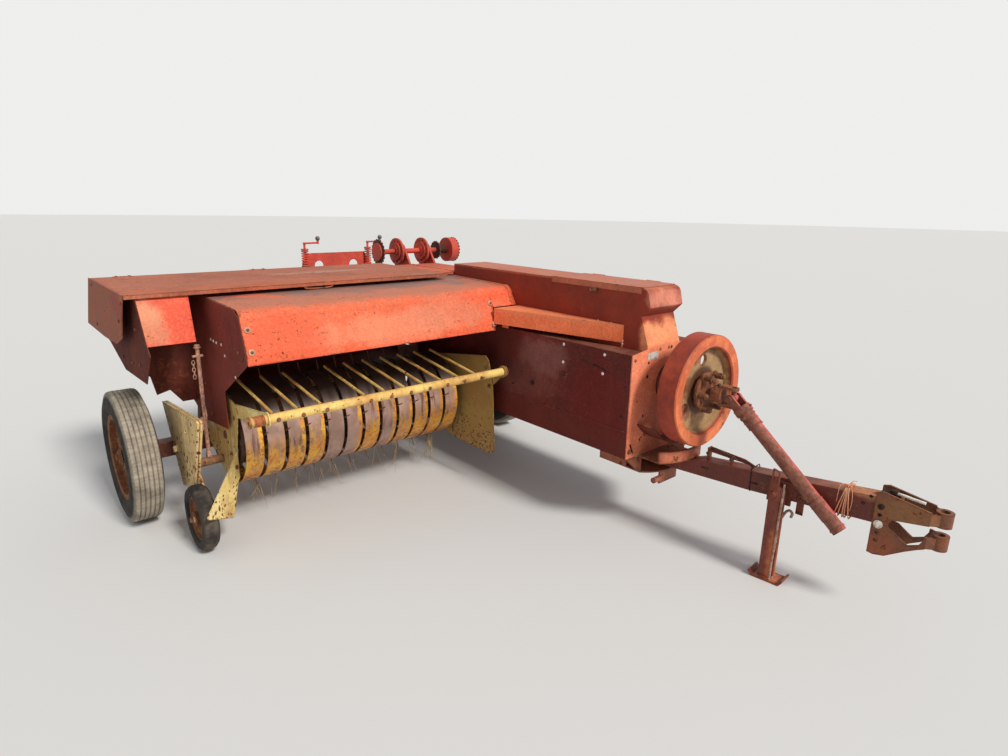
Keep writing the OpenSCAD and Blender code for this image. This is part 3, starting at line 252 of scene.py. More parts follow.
def faded_paint(name, coat, faded, rust=0.3, seed=0.0, runs=0.4, rough=0.55, cloud=1.1, patches=(), wear=0.5,
                chalk=0.0, pale=(232, 160, 126), dust=0.35, dusty=(172, 124, 98), gloss=0.25, pepper=0.0,
                patchy=1.0):
    """Old enamel: clouded fading, chalky speckle, rain runs, rust specks and chips."""
    finish = Finish(name, seed)
    finish.coat = finish.blend(coat, faded, finish.noise(cloud, 5, 0.6, warp=0.4), 0.4, 0.62)
    mottle = finish.noise(9, 8, 0.74)
    grit = finish.noise(85, 4, 0.7)
    if chalk:
        powder = finish.times(mottle, 0.35, finish.times(grit, 1.05))
        finish.lay(pale, finish.times(finish.step(powder, 0.66, 0.84), chalk))
    for centre, size, tone, share in patches:
        finish.lay(tone, finish.times(finish.near(centre, size), share))
    finish.shade(mottle, 0.32, 0.68, 1 - 0.18 * patchy, 1 + 0.12 * patchy)
    finish.shade(grit, 0.34, 0.66, 0.9, 1.08)
    streak = finish.noise(3.2, 5, 0.62, stretch=(7, 7, 0.55))
    finish.lay(RUST_MID, finish.times(finish.step(streak, 0.5, 0.7), runs * 0.8))
    film = finish.step(finish.noise(4, 7, 0.72), 0.35, 0.68, 0.0, dust)
    finish.lay(dusty, finish.times(finish.step(finish.towards("Z"), 0.55, 0.95), film))
    region = finish.times(finish.noise(2.3, 4, 0.6), 0.34, -0.17)
    chips = finish.times(finish.edges(), 0.18 * wear, finish.noise(30, 9, 0.74))
    chips = finish.calc("ADD", chips, region)
    bare = finish.step(chips, 0.72 - 0.16 * rust, 0.76 - 0.16 * rust)
    specks = finish.calc("ADD", finish.noise(70, 3, 0.75), finish.times(region, 0.7))
    speck_from = 0.73 - 0.08 * rust - pepper
    bare = finish.calc("MAXIMUM", bare, finish.step(specks, speck_from, speck_from + 0.03))
    finish.lay(RUST_LIGHT, finish.step(chips, 0.66 - 0.16 * rust, 0.72 - 0.16 * rust, 0.0, 0.35))
    finish.lay(finish.rust(), bare)
    shine = finish.step(mottle, 0.3, 0.7, rough - 0.08, rough + 0.14)
    shine = finish.calc("MAXIMUM", shine, finish.times(bare, 0.9))
    return finish.done(shine, finish.times(mottle, 0.6, finish.times(bare, -0.5)), gloss=gloss)


def two_tone(name, seed, cloud, dark, light, low, high, rough, strength=0.3, depth=0.001, **more):
    """Plain stuff in two clouded tones, with its relief from the same cloud."""
    finish = Finish(name, seed)
    grain = finish.noise(*cloud)
    finish.coat = finish.blend(dark, light, grain, low, high)
    if isinstance(rough, tuple):
        rough = finish.step(grain, 0.3, 0.7, *rough)
    return finish.done(rough, grain, strength, depth, **more)


def dress(material, *names):
    """The finish on these CAD nodes."""
    for name in names:
        for material_slot in nodes[name].material_slots:
            material_slot.material = material


def facing(at, out):
    """A matrix that stands on a point with its Z along a direction."""
    return Matrix.Translation(at) @ Vector(out).to_track_quat("Z", "Y").to_matrix().to_4x4()


def cone(mesh, middle, radius, tip, depth, segments):
    """A closed cone or bar about its middle."""
    bmesh.ops.create_cone(mesh, cap_ends=True, segments=segments, radius1=radius, radius2=tip, depth=depth,
                          matrix=middle)


def hex_bolt(mesh, at, out, across=0.019, high=0.008, washer=0.0):
    """A hexagon head with a bevelled top, on a round washer if it has one."""
    stand = facing(at, out)
    base = 0.0025 if washer else 0.0
    if washer:
        cone(mesh, stand @ Matrix.Translation((0, 0, base / 2)), washer, washer * 0.96, base, 20)
    wide = across / 2 / math.cos(math.radians(30))
    for lift, top, deep in ((0.4, 1.0, 0.8), (0.9, 0.82, 0.2)):
        cone(mesh, stand @ Matrix.Translation((0, 0, base + high * lift)), wide, wide * top, high * deep, 6)


def dome_bolt(mesh, at, out, radius=0.011, high=0.006):
    """A low round bolt head."""
    flat = facing(at, out) @ Matrix.Diagonal((1, 1, high / radius, 1))
    bmesh.ops.create_uvsphere(mesh, u_segments=16, v_segments=8, radius=radius, matrix=flat)


def rod(mesh, start, end, radius, segments=12, tip=None):
    """A straight round rod between two points."""
    along = end - start
    far = radius if tip is None else tip
    cone(mesh, facing((start + end) / 2, along), radius, far, along.length, segments)


def box_bar(mesh, middle, size, turn=0.0, soft=0.0015):
    """A small flat bar with softened edges, turned about Z."""
    shape = Matrix.Translation(middle) @ Matrix.Rotation(turn, 4, "Z") @ Matrix.Diagonal((*size, 1))
    corners = bmesh.ops.create_cube(mesh, size=1, matrix=shape)["verts"]
    rims = list({edge for corner in corners for edge in corner.link_edges})
    bmesh.ops.bevel(mesh, geom=rims, offset=soft, segments=2, affect="EDGES", profile=0.5, material=-1)


def finished(name, mesh, material, body="frame", crease=35):
    """The mesh as a smooth piece on a body, with its finish."""
    bmesh.ops.recalc_face_normals(mesh, faces=mesh.faces)
    data = bpy.data.meshes.new(name)
    mesh.to_mesh(data)
    mesh.free()
    data.materials.append(material)
    for face in data.polygons:
        face.use_smooth = True
    data.set_sharp_from_angle(angle=math.radians(crease))
    piece = bpy.data.objects.new(name, data)
    bpy.context.scene.collection.objects.link(piece)
    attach(piece, body)


case_side, bolt_side = -0.2812, -0.283
case_paint = faded_paint(
    "case_paint", (110, 41, 36), (96, 42, 38), rust=0.15, seed=1, runs=0.15, rough=0.68, gloss=0.15,
    chalk=0.15, pale=(132, 78, 68),
    patches=[(place(-0.281, -1.16, 0.8), (0.3, 0.17, 0.11), (142, 96, 90), 0.6),
             (place(-0.281, -1.0, 0.68), (0.3, 0.3, 0.1), (122, 74, 66), 0.55),
             (place(-0.281, -0.84, 0.84), (0.3, 0.16, 0.14), (94, 40, 34), 0.8),
             (place(-0.281, -1.56, 0.66), (0.3, 0.2, 0.22), (116, 35, 33), 0.6),
             (place(bolt_side, -1.25, 0.48), (0.3, 0.8, 0.06), (104, 44, 36), 0.6)],
)
dress(case_paint, "case_front", "bale_chamber")
zinc_metal = two_tone("zinc", 3, (60, 5, 0.6), (226, 222, 212), (178, 162, 142), 0.45, 0.62, (0.35, 0.6),
                      0.2, 0.0005, metal=0.4, gloss=0.5)
# Dark rust for marks and pin heads, and painted shade where it stands for holes and slots.
dark_rust_and_hole_shade = two_tone("dark_rust_and_hole_shade", 3.5, (40, 6, 0.7), (38, 26, 22), (84, 50, 36), 0.42, 0.62, 0.85)
bolt_iron = two_tone("bolt_iron", 3.8, (45, 6, 0.7), (96, 62, 46), (150, 98, 68), 0.4, 0.62, 0.7)

mesh = bmesh.new()
for y, z in ((-1.321, 0.904), (-1.321, 0.813), (-1.584, 0.9), (-1.579, 0.808)):
    dome_bolt(mesh, place(bolt_side + 0.002, y, z), RIGHT, 0.0085, 0.005)
finished("case_side_bolts", mesh, zinc_metal, "frame")

mesh = bmesh.new()
for y, z, wide in ((-1.706, 0.629, 0.006), (-1.715, 0.772, 0.004), (-1.326, 0.753, 0.012),
                   (-1.105, 0.659, 0.014), (-1.02, 0.7, 0.006), (-0.95, 0.62, 0.005), (-1.5, 0.44, 0.005),
                   (-1.1, 0.44, 0.005)):
    rod(mesh, place(case_side, y, z), place(bolt_side - 0.0004, y, z), wide, 14)
for y0, z0, y1, z1, wide in ((-1.443, 0.851, -1.54, 0.833, 0.0016), (-1.52, 0.842, -1.633, 0.816, 0.003),
                             (-1.575, 0.836, -1.6, 0.816, 0.0035), (-1.09, 0.64, -1.13, 0.7, 0.0015)):
    rod(mesh, place(case_side, y0, z0), place(case_side, y1, z1), wide, 6, 0.0008)
rod(mesh, place(-0.2816, -1.738, 0.5568), place(-0.2816, -0.36, 0.55), 0.0014, 6)
finished("case_side_marks", mesh, dark_rust_and_hole_shade)
mesh = bmesh.new()
box_bar(mesh, place(-0.2824, -1.05, 0.557), (0.0012, 1.376, 0.006), soft=0.0004)
finished("case_side_seam", mesh, case_paint, "frame")

mesh = bmesh.new()
for side in (-1, 1):
    for y in (-1.62, -1.42, -1.22, -1.02, -0.82):
        hex_bolt(mesh, place(side * 0.24, y, 0.4262), (0, 0, -1), 0.019, 0.008, 0.014)
    for y in (0.42, 0.62, 0.82, 1.02, 1.22, 1.42, 1.62, 1.78):
        hex_bolt(mesh, place(side * 0.251, y, 0.482), UP, 0.017, 0.007)
    for y in (0.43, 0.56, 0.69, 0.84, 0.98, 1.12):
        hex_bolt(mesh, place(side * 0.2343, y, 0.8), (side, 0, 0), 0.017, 0.007, 0.013)
    for z in (0.5, 0.62, 0.86):
        hex_bolt(mesh, place(side * 0.259, 0.336, z), (0, 1, 0), 0.015, 0.006)
finished("chamber_bolts", mesh, bolt_iron)

# Front plate. The thick bolted plate behind the flywheel, bright orange where
# the sun has bleached it, with adjusting slots and a small blank data plate.
front_y = -1.7481
dress(faded_paint(
    "plate_paint", (250, 146, 108), (238, 128, 94), rust=0.2, seed=2, runs=0.12, chalk=0.25,
    pale=(252, 176, 144),
    patches=[(place(-0.2, -1.745, 0.45), (0.2, 0.1, 0.05), (206, 120, 84), 0.5)],
), "front_plate")

mesh = bmesh.new()
tin_x, tin_z = -0.13, 0.905
tin_shape = Matrix.Translation(place(tin_x, front_y, tin_z)) @ Matrix.Diagonal((0.078, 0.0016, 0.034, 1))
bmesh.ops.create_cube(mesh, size=1, matrix=tin_shape)
tin_corners = [edge for edge in mesh.edges if abs(edge.verts[0].co.y - edge.verts[1].co.y) > 0.001]
bmesh.ops.bevel(mesh, geom=tin_corners, offset=0.006, segments=4, affect="EDGES", profile=0.5, material=-1)
for side in (-0.033, 0.033):
    for end in (-0.011, 0.011):
        dome_bolt(mesh, place(tin_x + side, front_y - 0.0006, tin_z + end), FRONT, 0.0025, 0.0015)
blank_tin = two_tone("blank_tin", 4, (30, 6, 0.7), (214, 212, 204), (164, 156, 142), 0.48, 0.66, 0.5, 0.1,
                     0.0005, metal=0.1)
finished("blank_plate", mesh, blank_tin, "frame")

# Painted shade: dark discs and bars laid flush on the plate stand for its holes and adjusting slots.
mesh = bmesh.new()
for x, z, wide in ((-0.16, 0.875, 0.006), (-0.1625, 0.81, 0.0075), (-0.1745, 0.622, 0.0055),
                   (-0.227, 0.702, 0.0035)):
    rod(mesh, place(x, front_y + 0.001, z), place(x, front_y - 0.0003, z), wide, 16)
for x, z in ((-0.1562, 0.5358), (-0.1763, 0.514)):
    box_bar(mesh, place(x, front_y, z), (0.013, 0.0008, 0.005), 0, 0.0002)
finished("front_plate_holes", mesh, dark_rust_and_hole_shade)

mesh = bmesh.new()
for side in (-1, 1):
    hex_bolt(mesh, place(side * 0.262, front_y + 0.0002, 0.46), FRONT, 0.016, 0.007, 0.012)
    for x, z in ((0.078, 0.93), (0.01, 0.93), (0.262, 0.9)):
        dome_bolt(mesh, place(side * x, front_y, z), FRONT, 0.008, 0.004)
finished("front_plate_bolts", mesh, bolt_iron)

# Pressing side. Plunger, gearbox and the steel at the back of the machine,
# dark red under grease, dust and rust.
dress(faded_paint("inner_paint", (104, 48, 40), (92, 54, 44), rust=0.7, seed=4, runs=0.5),
      "plunger", "feeder_rail", "main_axle", "flywheel_guard")
dress(faded_paint("gear_paint", (112, 62, 46), (92, 58, 46), rust=0.6, seed=5, runs=0.6), "gearbox")
dress(faded_paint("back_paint", (178, 72, 56), (150, 66, 54), rust=0.5, seed=6, runs=0.45),
      "tension_rails", "needle_yoke")
dress(faded_paint(
    "draw_paint", (132, 72, 54), (166, 100, 76), rust=1.1, seed=6.5, runs=0.5, cloud=5, wear=1.2,
    dusty=(150, 122, 98),
    dust=0.8, patches=[(place(-0.1, -1.9, 0.45), (0.12, 0.1, 0.05), (206, 118, 88), 0.7)],
), "drawbar_frame")


def worn_iron(name, dark, light, seed=0.0, metal=0.3, rough=0.6, rusty=0.5):
    """Bare iron gone brown, with brighter rubbed cloud."""
    finish = Finish(name, seed)
    cloud = finish.noise(14, 8, 0.7)
    finish.coat = finish.blend(dark, light, cloud, 0.36, 0.64)
    fine = finish.noise(90, 4, 0.6)
    finish.lay(finish.rust(), finish.times(finish.step(fine, 0.42, 0.6), rusty))
    finish.lay((160, 134, 112), finish.times(finish.edges(0.006), 0.5))
    height = finish.calc("ADD", finish.times(fine, 0.5), cloud)
    shine = finish.step(cloud, 0.3, 0.7, rough, rough + 0.25)
    return finish.done(shine, height, 0.35, 0.0015, metal=metal, soften=0.0015)


dress(worn_iron("old_iron", (96, 58, 42), (146, 98, 70), seed=7), "meter_wheel")
crank_x, crank_y, crossbar_top = 0.29, 1.633, 0.9163
mesh = bmesh.new()
for x in (-crank_x, crank_x):
    hex_bolt(mesh, place(x, crank_y, crossbar_top), UP, 0.032, 0.014, 0.026)
    hex_bolt(mesh, place(x * 0.4, crank_y, crossbar_top), UP, 0.019, 0.01)
    hex_bolt(mesh, place(x, 1.743, 0.4157), (0, 0, -1), 0.028, 0.012, 0.02)
finished("press_bolts", mesh, bolt_iron)

# Knotters. Coral red castings and shaft on the chamber roof, between two dark
# toothed wheels, with a spring that holds each twine disc shut.
dress(faded_paint("knot_coral", (222, 84, 66), (196, 76, 62), rust=0.6, seed=8, runs=0.2, wear=1.0, dust=0.2),
      "knotter_frame", "knotter_shaft", "density_springs")
knot_y, knot_z = 0.52, 1.235


def toothed_wheel(mesh, centre, out, bore, root, tip, teeth, thick):
    """A flat wheel with square teeth and an open middle."""
    stand = facing(centre, out)
    inner = bmesh.ops.create_circle(mesh, segments=teeth * 4, radius=bore, matrix=stand)["verts"]
    outer = bmesh.ops.create_circle(mesh, segments=teeth * 4, radius=1.0, matrix=stand)["verts"]
    for count, point in enumerate(outer):
        radius = tip if count % 4 in (1, 2) else root
        point.co = centre + (point.co - centre) * radius
    rims = list({edge for point in inner + outer for edge in point.link_edges})
    made = bmesh.ops.bridge_loops(mesh, edges=rims)["faces"]
    grown = bmesh.ops.extrude_face_region(mesh, geom=made)["geom"]
    fresh = [item for item in grown if isinstance(item, bmesh.types.BMVert)]
    bmesh.ops.translate(mesh, verts=fresh, vec=Vector(out) * thick)


dark_steel = worn_iron("dark_steel", (52, 42, 38), (92, 74, 62), seed=8.5, metal=0.4, rusty=0.4)
mesh = bmesh.new()
for x, *wheel in ((0.3925, 0.04, 0.083, 0.091, 22, 0.007), (-0.249, 0.019, 0.082, 0.09, 20, 0.006),
                  (0.236, 0.019, 0.06, 0.066, 14, 0.008), (-0.088, 0.041, 0.06, 0.066, 11, 0.006),
                  (0.122, 0.041, 0.06, 0.066, 11, 0.006)):
    toothed_wheel(mesh, place(x, knot_y, knot_z), (1, 0, 0), *wheel)
finished("knotter_wheels", mesh, dark_steel, "frame")


def smooth_line(points, steps=5):
    """Points of a smooth line through these ones."""
    ends = [points[0] * 2 - points[1], *points, points[-1] * 2 - points[-2]]
    line = []
    for a, b, c, d in zip(ends, ends[1:], ends[2:], ends[3:]):
        for count in range(steps):
            t = count / steps
            bend, twist = 2 * a - 5 * b + 4 * c - d, 3 * b - a - 3 * c + d
            line.append((2 * b + (c - a) * t + bend * t ** 2 + twist * t ** 3) / 2)
    return line + [points[-1]]


def bent_rod(mesh, line, radius, segments=8, tip=1.0):
    """A round wire or rod along a line of points, thinner towards its end if asked."""
    last = None
    for count, point in enumerate(line):
        way = line[min(count + 1, len(line) - 1)] - line[max(count - 1, 0)]
        wide = radius * (1 - (1 - tip) * count / (len(line) - 1))
        end = count in (0, len(line) - 1)
        ring = bmesh.ops.create_circle(mesh, cap_ends=end, segments=segments, radius=wide,
                                       matrix=facing(point, way))["verts"]
        rim = list({edge for corner in ring for edge in corner.link_edges})
        if last:
            bmesh.ops.bridge_loops(mesh, edges=last + rim)
        last = rim


def wire(mesh, where, points, radius, segments=8, steps=5):
    """A smooth wire through points of the machine or of its tongue."""
    bent_rod(mesh, smooth_line([where(*point) for point in points], steps), radius, segments)


def coil(mesh, start, end, radius, thick, turns, steps=10):
    """A coil spring between two points."""
    stand = facing(start, end - start)
    total = int(turns * steps)
    line = []
    for count in range(total + 1):
        turn, rise = 2 * math.pi * count / steps, (end - start).length * count / total
        line.append(stand @ Vector((radius * math.cos(turn), radius * math.sin(turn), rise)))
    bent_rod(mesh, line, thick, 6)


mesh = bmesh.new()
coil(mesh, place(0.245, knot_y, knot_z), place(0.326, knot_y, knot_z), 0.026, 0.0035, 6)
for x in (-0.105, 0.105):
    foot = place(x + 0.03, knot_y - 0.075, 1.035)
    coil(mesh, foot, foot + Vector((0, 0, 0.065)), 0.01, 0.002, 6, 8)
    wire(mesh, place, ((x - 0.008, knot_y - 0.06, 1.1), (x - 0.012, knot_y - 0.02, 1.07),
                       (x - 0.01, knot_y + 0.05, 1.05), (x - 0.008, knot_y + 0.085, 1.02)), 0.0045)
finished("knotter_springs", mesh, dark_steel, "frame", 60)

mesh = bmesh.new()
for x in (-crank_x, crank_x):
    grip = Matrix.Translation(place(x + 0.09, 1.573, knot_z + 0.04))
    bmesh.ops.create_uvsphere(mesh, u_segments=20, v_segments=12, radius=0.019, matrix=grip)
knob_grey = two_tone("knob_grey", 8.7, (30, 5, 0.6), (128, 128, 126), (92, 90, 88), 0.4, 0.62, 0.6, 0.2)
finished("crank_knobs", mesh, knob_grey, "frame")

# Feeder housing. The pan under the covers is scoured to brown steel by hay.
dress(faded_paint("pan_paint", (110, 54, 44), (128, 76, 58), rust=0.8, seed=9, runs=0.5), "feeder_housing")
mesh = bmesh.new()
for x in (-1.56, -1.3, -1.04, -0.78, -0.52, -0.36):
    for y, z, out in ((0.4554, 0.741, (0, 0.7, -0.715)), (0.5568, 0.8568, (0, 0.76, -0.65))):
        hex_bolt(mesh, place(x, y, z), out, 0.015, 0.006)
    hex_bolt(mesh, place(x, 0.06, 1.0652), UP, 0.017, 0.008)
finished("pan_bolts", mesh, bolt_iron)

# Front hood. Its rolled front is bright orange, chalky and peppered, its top
# has burnt to grey brown crust along the rear and runs into orange at the roll.
hood_out = (0, -0.94, 0.34)
hood = faded_paint(
    "hood_paint", (236, 96, 60), (232, 108, 72), rust=0.48, seed=10, runs=0.15, rough=0.62, chalk=0.3,
    pale=(240, 138, 100), dust=0.4, dusty=(180, 124, 102), wear=0.8, pepper=0.055, patchy=0.35,
    patches=[(place(-1.1, -0.64, 1.14), (1.3, 0.18, 0.05), (186, 116, 88), 0.8),
             (place(-0.95, -0.3, 1.15), (1.3, 0.2, 0.05), (112, 98, 94), 0.92),
             (place(-0.7, -0.48, 1.145), (0.75, 0.12, 0.05), (122, 106, 100), 0.75),
             (place(-0.95, -0.85, 1.0), (0.42, 0.08, 0.08), (238, 140, 104), 0.7),
             (place(-0.66, -0.84, 1.03), (0.34, 0.08, 0.07), (212, 126, 96), 0.6),
             (place(-1.48, -0.845, 1.0), (0.16, 0.08, 0.16), (240, 96, 62), 0.6)],
)
dress(hood, "front_hood")

bolt_mesh, mesh = bmesh.new(), bmesh.new()
for x, y, z in ((-1.6424, -0.8185, 1.053), (-1.644, -0.8502, 0.964), (-0.345, -0.8185, 1.053),
                (-0.345, -0.857, 0.945)):
    hex_bolt(bolt_mesh, place(x, y - 0.0045, z), hood_out, 0.012, 0.006)
    dome_bolt(mesh, place(x, y - 0.0035, z), hood_out, 0.0145, 0.003)
finished("hood_bolts", bolt_mesh, bolt_iron)
washer_tin = worn_iron("washer_tin", (186, 138, 112), (222, 180, 150), seed=10.5, metal=0.1, rusty=0.35)
finished("hood_washers", mesh, washer_tin, "frame")
mesh = bmesh.new()
for start, end in (((-1.665, -0.8632, 0.911), (-0.338, -0.8632, 0.911)),
                   ((-0.3365, -0.812, 1.082), (-0.3365, -0.862, 0.944))):
    rod(mesh, place(*start), place(*end), 0.0022, 8)
finished("hood_edge_bead", mesh, hood, "frame")

# Outer sheets. The hood's side and the outer housing stand in shade and have
# kept a dark wine red with dull rust over it, a few pale rivets among it.
dress(faded_paint("side_paint", (142, 68, 58), (122, 58, 52), rust=0.35, seed=11, runs=0.35, rough=0.72,
                  gloss=0.12),
      "hood_side")
dress(faded_paint("outer_paint", (112, 56, 46), (92, 48, 42), rust=0.5, seed=12, runs=0.5, rough=0.8,
                  gloss=0.08),
      "end_housing")
hood_end, housing_end = -1.669, -1.96
mesh = bmesh.new()
for y, z in ((-0.4034, 0.9482), (-0.4388, 0.946), (-0.4781, 0.9444), (-0.5476, 0.9483), (-0.5832, 0.9035),
             (-0.7, 0.83)):
    dome_bolt(mesh, place(hood_end, y, z), RIGHT, 0.0072, 0.004)
finished("side_rivets", mesh, zinc_metal, "frame")
mesh = bmesh.new()
for x, rows in ((hood_end, ((-0.7625, 0.9508), (-0.8088, 0.9293), (-0.24, 0.7), (-0.1, 0.62), (-0.1, 0.86),
                            (-0.3, 0.56), (-0.06, 1.1))),
                (housing_end, ((-0.36, 0.86), (-0.2, 0.84), (0.0, 0.83), (0.3, 0.9), (0.5, 0.95),
                               (-0.36, 1.02)))):
    for y, z in rows:
        hex_bolt(mesh, place(x, y, z), RIGHT, 0.013, 0.005)
finished("side_bolts", mesh, bolt_iron)

# Corner box. Bright red front with a tan peppered blotch where its paint has
# gone, and a bolted top edge under the cover.
box_low, box_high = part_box("corner_box")
blotch = Vector((box_low.x + 0.03, box_low.y, (box_low.z + box_high.z) / 2 + 0.03))
dress(faded_paint(
    "corner_paint", (240, 92, 62), (232, 88, 62), rust=0.35, seed=13, runs=0.05, chalk=0.3,
    pale=(246, 140, 110), pepper=0.035, patchy=0.6,
    patches=[(blotch, (0.085, 0.3, 0.085), (234, 158, 120), 0.85),
             (blotch + Vector((0.02, 0, -0.085)), (0.085, 0.3, 0.06), (220, 138, 104), 0.8)],
), "corner_box")

# Ledge and twine box. Orange ledge with a chalky top, a redder box, pale runs
# down the box's nose, and a lid that has faded like the box's top.
dress(faded_paint(
    "ledge_paint", (252, 128, 80), (240, 118, 76), rust=0.35, seed=14, runs=0.15, chalk=0.2,
    pale=(250, 158, 118), patchy=0.5, dusty=(236, 146, 104),
    patches=[(place(-0.24, -1.2, 1.031), (0.2, 0.6, 0.02), (240, 142, 98), 0.7)],
), "side_ledge")
dress(faded_paint(
    "twine_paint", (148, 56, 38), (128, 50, 38), rust=0.3, seed=15, runs=0.3, dusty=(188, 118, 92), dust=0.8,
    patches=[(place(-0.05, -0.95, 1.214), (0.3, 1.0, 0.012), (196, 112, 82), 0.8),
             (place(-0.05, -1.76, 1.17), (0.3, 0.055, 0.055), (214, 134, 110), 0.9),
             (place(-0.05, -1.745, 1.0), (0.3, 0.06, 0.085), (252, 160, 112), 0.95)],
), "twine_box")
dress(faded_paint(
    "lid_paint", (190, 108, 82), (174, 96, 76), rust=0.4, seed=16, runs=0.2, dusty=(190, 122, 96), dust=0.6,
), "twine_lid")
mesh = bmesh.new()
for z in (0.94, 0.955):
    dome_bolt(mesh, place(-0.172, -1.5995, z), FRONT, 0.006, 0.003)
for y in (-1.52, -1.44):
    dome_bolt(mesh, place(-0.168, y, 1.0312), UP, 0.006, 0.003)
finished("ledge_bolts", mesh, zinc_metal, "frame")
mesh = bmesh.new()
for y in (-1.66, -1.4, -1.14, -0.88, -0.62, -0.36):
    hex_bolt(mesh, place(0.0798, y, 0.95), (1, 0, 0), 0.013, 0.006, 0.011)
for x in (-0.13, -0.045, 0.04):
    hex_bolt(mesh, place(x, -0.2642, 0.96), (0, 1, 0), 0.013, 0.006)
dome_bolt(mesh, place(-0.266, -1.19, 0.985), (-0.973, -0.23, 0), 0.007, 0.003)
finished("twine_box_bolts", mesh, bolt_iron)
mesh = bmesh.new()
box_bar(mesh, place(-0.175, -1.4, 1.178), (0.003, 0.05, 0.022))
wire(mesh, place, ((-0.1765, -1.415, 1.18), (-0.1855, -1.412, 1.174), (-0.1855, -1.388, 1.174),
                   (-0.1765, -1.385, 1.18)), 0.003, steps=4)
finished("lid_handle", mesh, bolt_iron, "twine_lid")

# Rear cover. Its top is orange brown with pale scrapes; its folded end sheet is
# darkened to a duller brown red as painted shade, with a rolled edge and bolts
# where it meets its hinges.
cover_paint = faded_paint(
    "cover_paint", (180, 106, 82), (158, 90, 68), rust=0.6, seed=17, runs=0.45, chalk=0.25,
    pale=(200, 140, 114), dusty=(186, 118, 94), dust=0.5, rough=0.68, gloss=0.15,
    patches=[(place(-1.35, -0.32, 1.18), (0.8, 0.12, 0.05), (190, 104, 74), 0.7),
             (place(-0.9, 0.05, 1.18), (0.3, 0.05, 0.03), (206, 170, 152), 0.45),
             # Painted shade: the end sheet darkened to a duller brown.
             (place(-2.0, 0.1, 1.05), (0.012, 0.8, 0.3), (146, 84, 62), 0.8),
             (place(-2.0, -0.3, 1.12), (0.012, 0.16, 0.06), (158, 66, 52), 0.6)],
)
dress(cover_paint, "rear_cover")
mesh = bmesh.new()
for x in (-1.855, -1.155, -0.455):
    for shift in (-0.03, 0.03):
        hex_bolt(mesh, place(x + shift, 0.338, 1.1772), UP, 0.013, 0.005)
for start, end in (((-2.001, -0.4145, 1.1765), (-0.331, -0.4145, 1.1765)),
                   ((-2.0045, -0.41, 1.172), (-2.0045, -0.286, 0.973))):
    rod(mesh, place(*start), place(*end), 0.0018, 8)
for y, z in ((-0.37, 1.14), (-0.28, 1.05), (0.3, 1.15), (0.3, 0.95)):
    hex_bolt(mesh, place(-2.0044, y, z), RIGHT, 0.013, 0.005)
wire(mesh, place, ((-1.2, -0.4115, 1.166), (-1.2, -0.4085, 1.15), (-1.13, -0.4085, 1.146),
                   (-1.06, -0.4085, 1.15), (-1.06, -0.4115, 1.166)), 0.0035, steps=4)
finished("cover_edge_and_bolts", mesh, cover_paint, "rear_cover")

# Sheet before the knotters. A folded sheet that closes the top of the case
# between hood, twine box and knotters, bolted down along its feet.
sheet_paint = faded_paint(
    "sheet_paint", (206, 100, 74), (186, 92, 70), rust=0.5, seed=17.5, runs=0.3, chalk=0.2,
    pale=(224, 150, 120), dusty=(202, 120, 92), dust=0.5, rough=0.68, gloss=0.15,
)
sheet_left, sheet_right, sheet_front, sheet_back = -0.3245, 0.0855, -0.2625, 0.3
sheet_top, case_top, rib_x, wall_x = 1.162, 0.9242, -0.12, -0.098
sheet_wide, sheet_long, wall_high = sheet_right - sheet_left, sheet_back - sheet_front, sheet_top - case_top
sheet_y, wall_z = sheet_front + sheet_long / 2, sheet_top - wall_high / 2
mesh = bmesh.new()
for middle, size in (
    ((sheet_left + sheet_wide / 2, sheet_y, sheet_top - 0.0015), (sheet_wide, sheet_long, 0.003)),
    ((sheet_right - 0.0015, sheet_y, wall_z), (0.003, sheet_long, wall_high)),
    ((wall_x, sheet_back - 0.0015, wall_z), (0.364, 0.003, wall_high)),
    ((sheet_left + 0.0765, sheet_front + 0.0015, sheet_top - 0.0068), (0.153, 0.003, 0.0136)),
    ((sheet_left + 0.0015, sheet_y, sheet_top - 0.0068), (0.003, sheet_long, 0.0136)),
    ((sheet_right + 0.01, sheet_y, case_top + 0.0015), (0.023, sheet_long, 0.003)),
    ((wall_x, sheet_back + 0.009, case_top + 0.0015), (0.364, 0.021, 0.003)),
    ((rib_x, sheet_y, sheet_top + 0.001), (0.03, sheet_long, 0.0024)),
):
    box_bar(mesh, place(*middle), size, soft=0.0009)
for y in (-0.22, -0.05, 0.12, 0.27):
    hex_bolt(mesh, place(sheet_right + 0.012, y, case_top + 0.003), UP, 0.013, 0.006, 0.01)
    dome_bolt(mesh, place(rib_x, y, sheet_top + 0.0022), UP, 0.0065, 0.003)
for x in (-0.25, -0.14, -0.03):
    hex_bolt(mesh, place(x, sheet_back + 0.01, case_top + 0.003), UP, 0.013, 0.006, 0.0085)
finished("knotter_front_sheet", mesh, sheet_paint, "frame")

# Flywheel. Orange face ring, faded red rim, and a web that dust and moss have
# turned khaki round the rusty slip clutch, darker close round the clutch as
# painted shade.
fly_low, fly_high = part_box("flywheel")
fly_mid = (fly_low + fly_high) / 2
shaft_z = fly_mid.z
fly = Finish("flywheel_paint", 18)
fly_out = fly.from_line(fly_mid, "Y")
fly_cloud = fly.noise(7, 6, 0.65)
fly_face = fly.blend((230, 128, 82), (206, 104, 68), fly_cloud, 0.42, 0.6)
fly_side = fly.blend((172, 70, 48), (140, 58, 44), fly_cloud, 0.4, 0.6)
fly_rim = fly.blend(fly_side, fly_face, fly.towards("Y"), -0.5, -0.9)
fly_web = fly.blend((172, 138, 98), (132, 86, 60), fly_cloud, 0.46, 0.6)
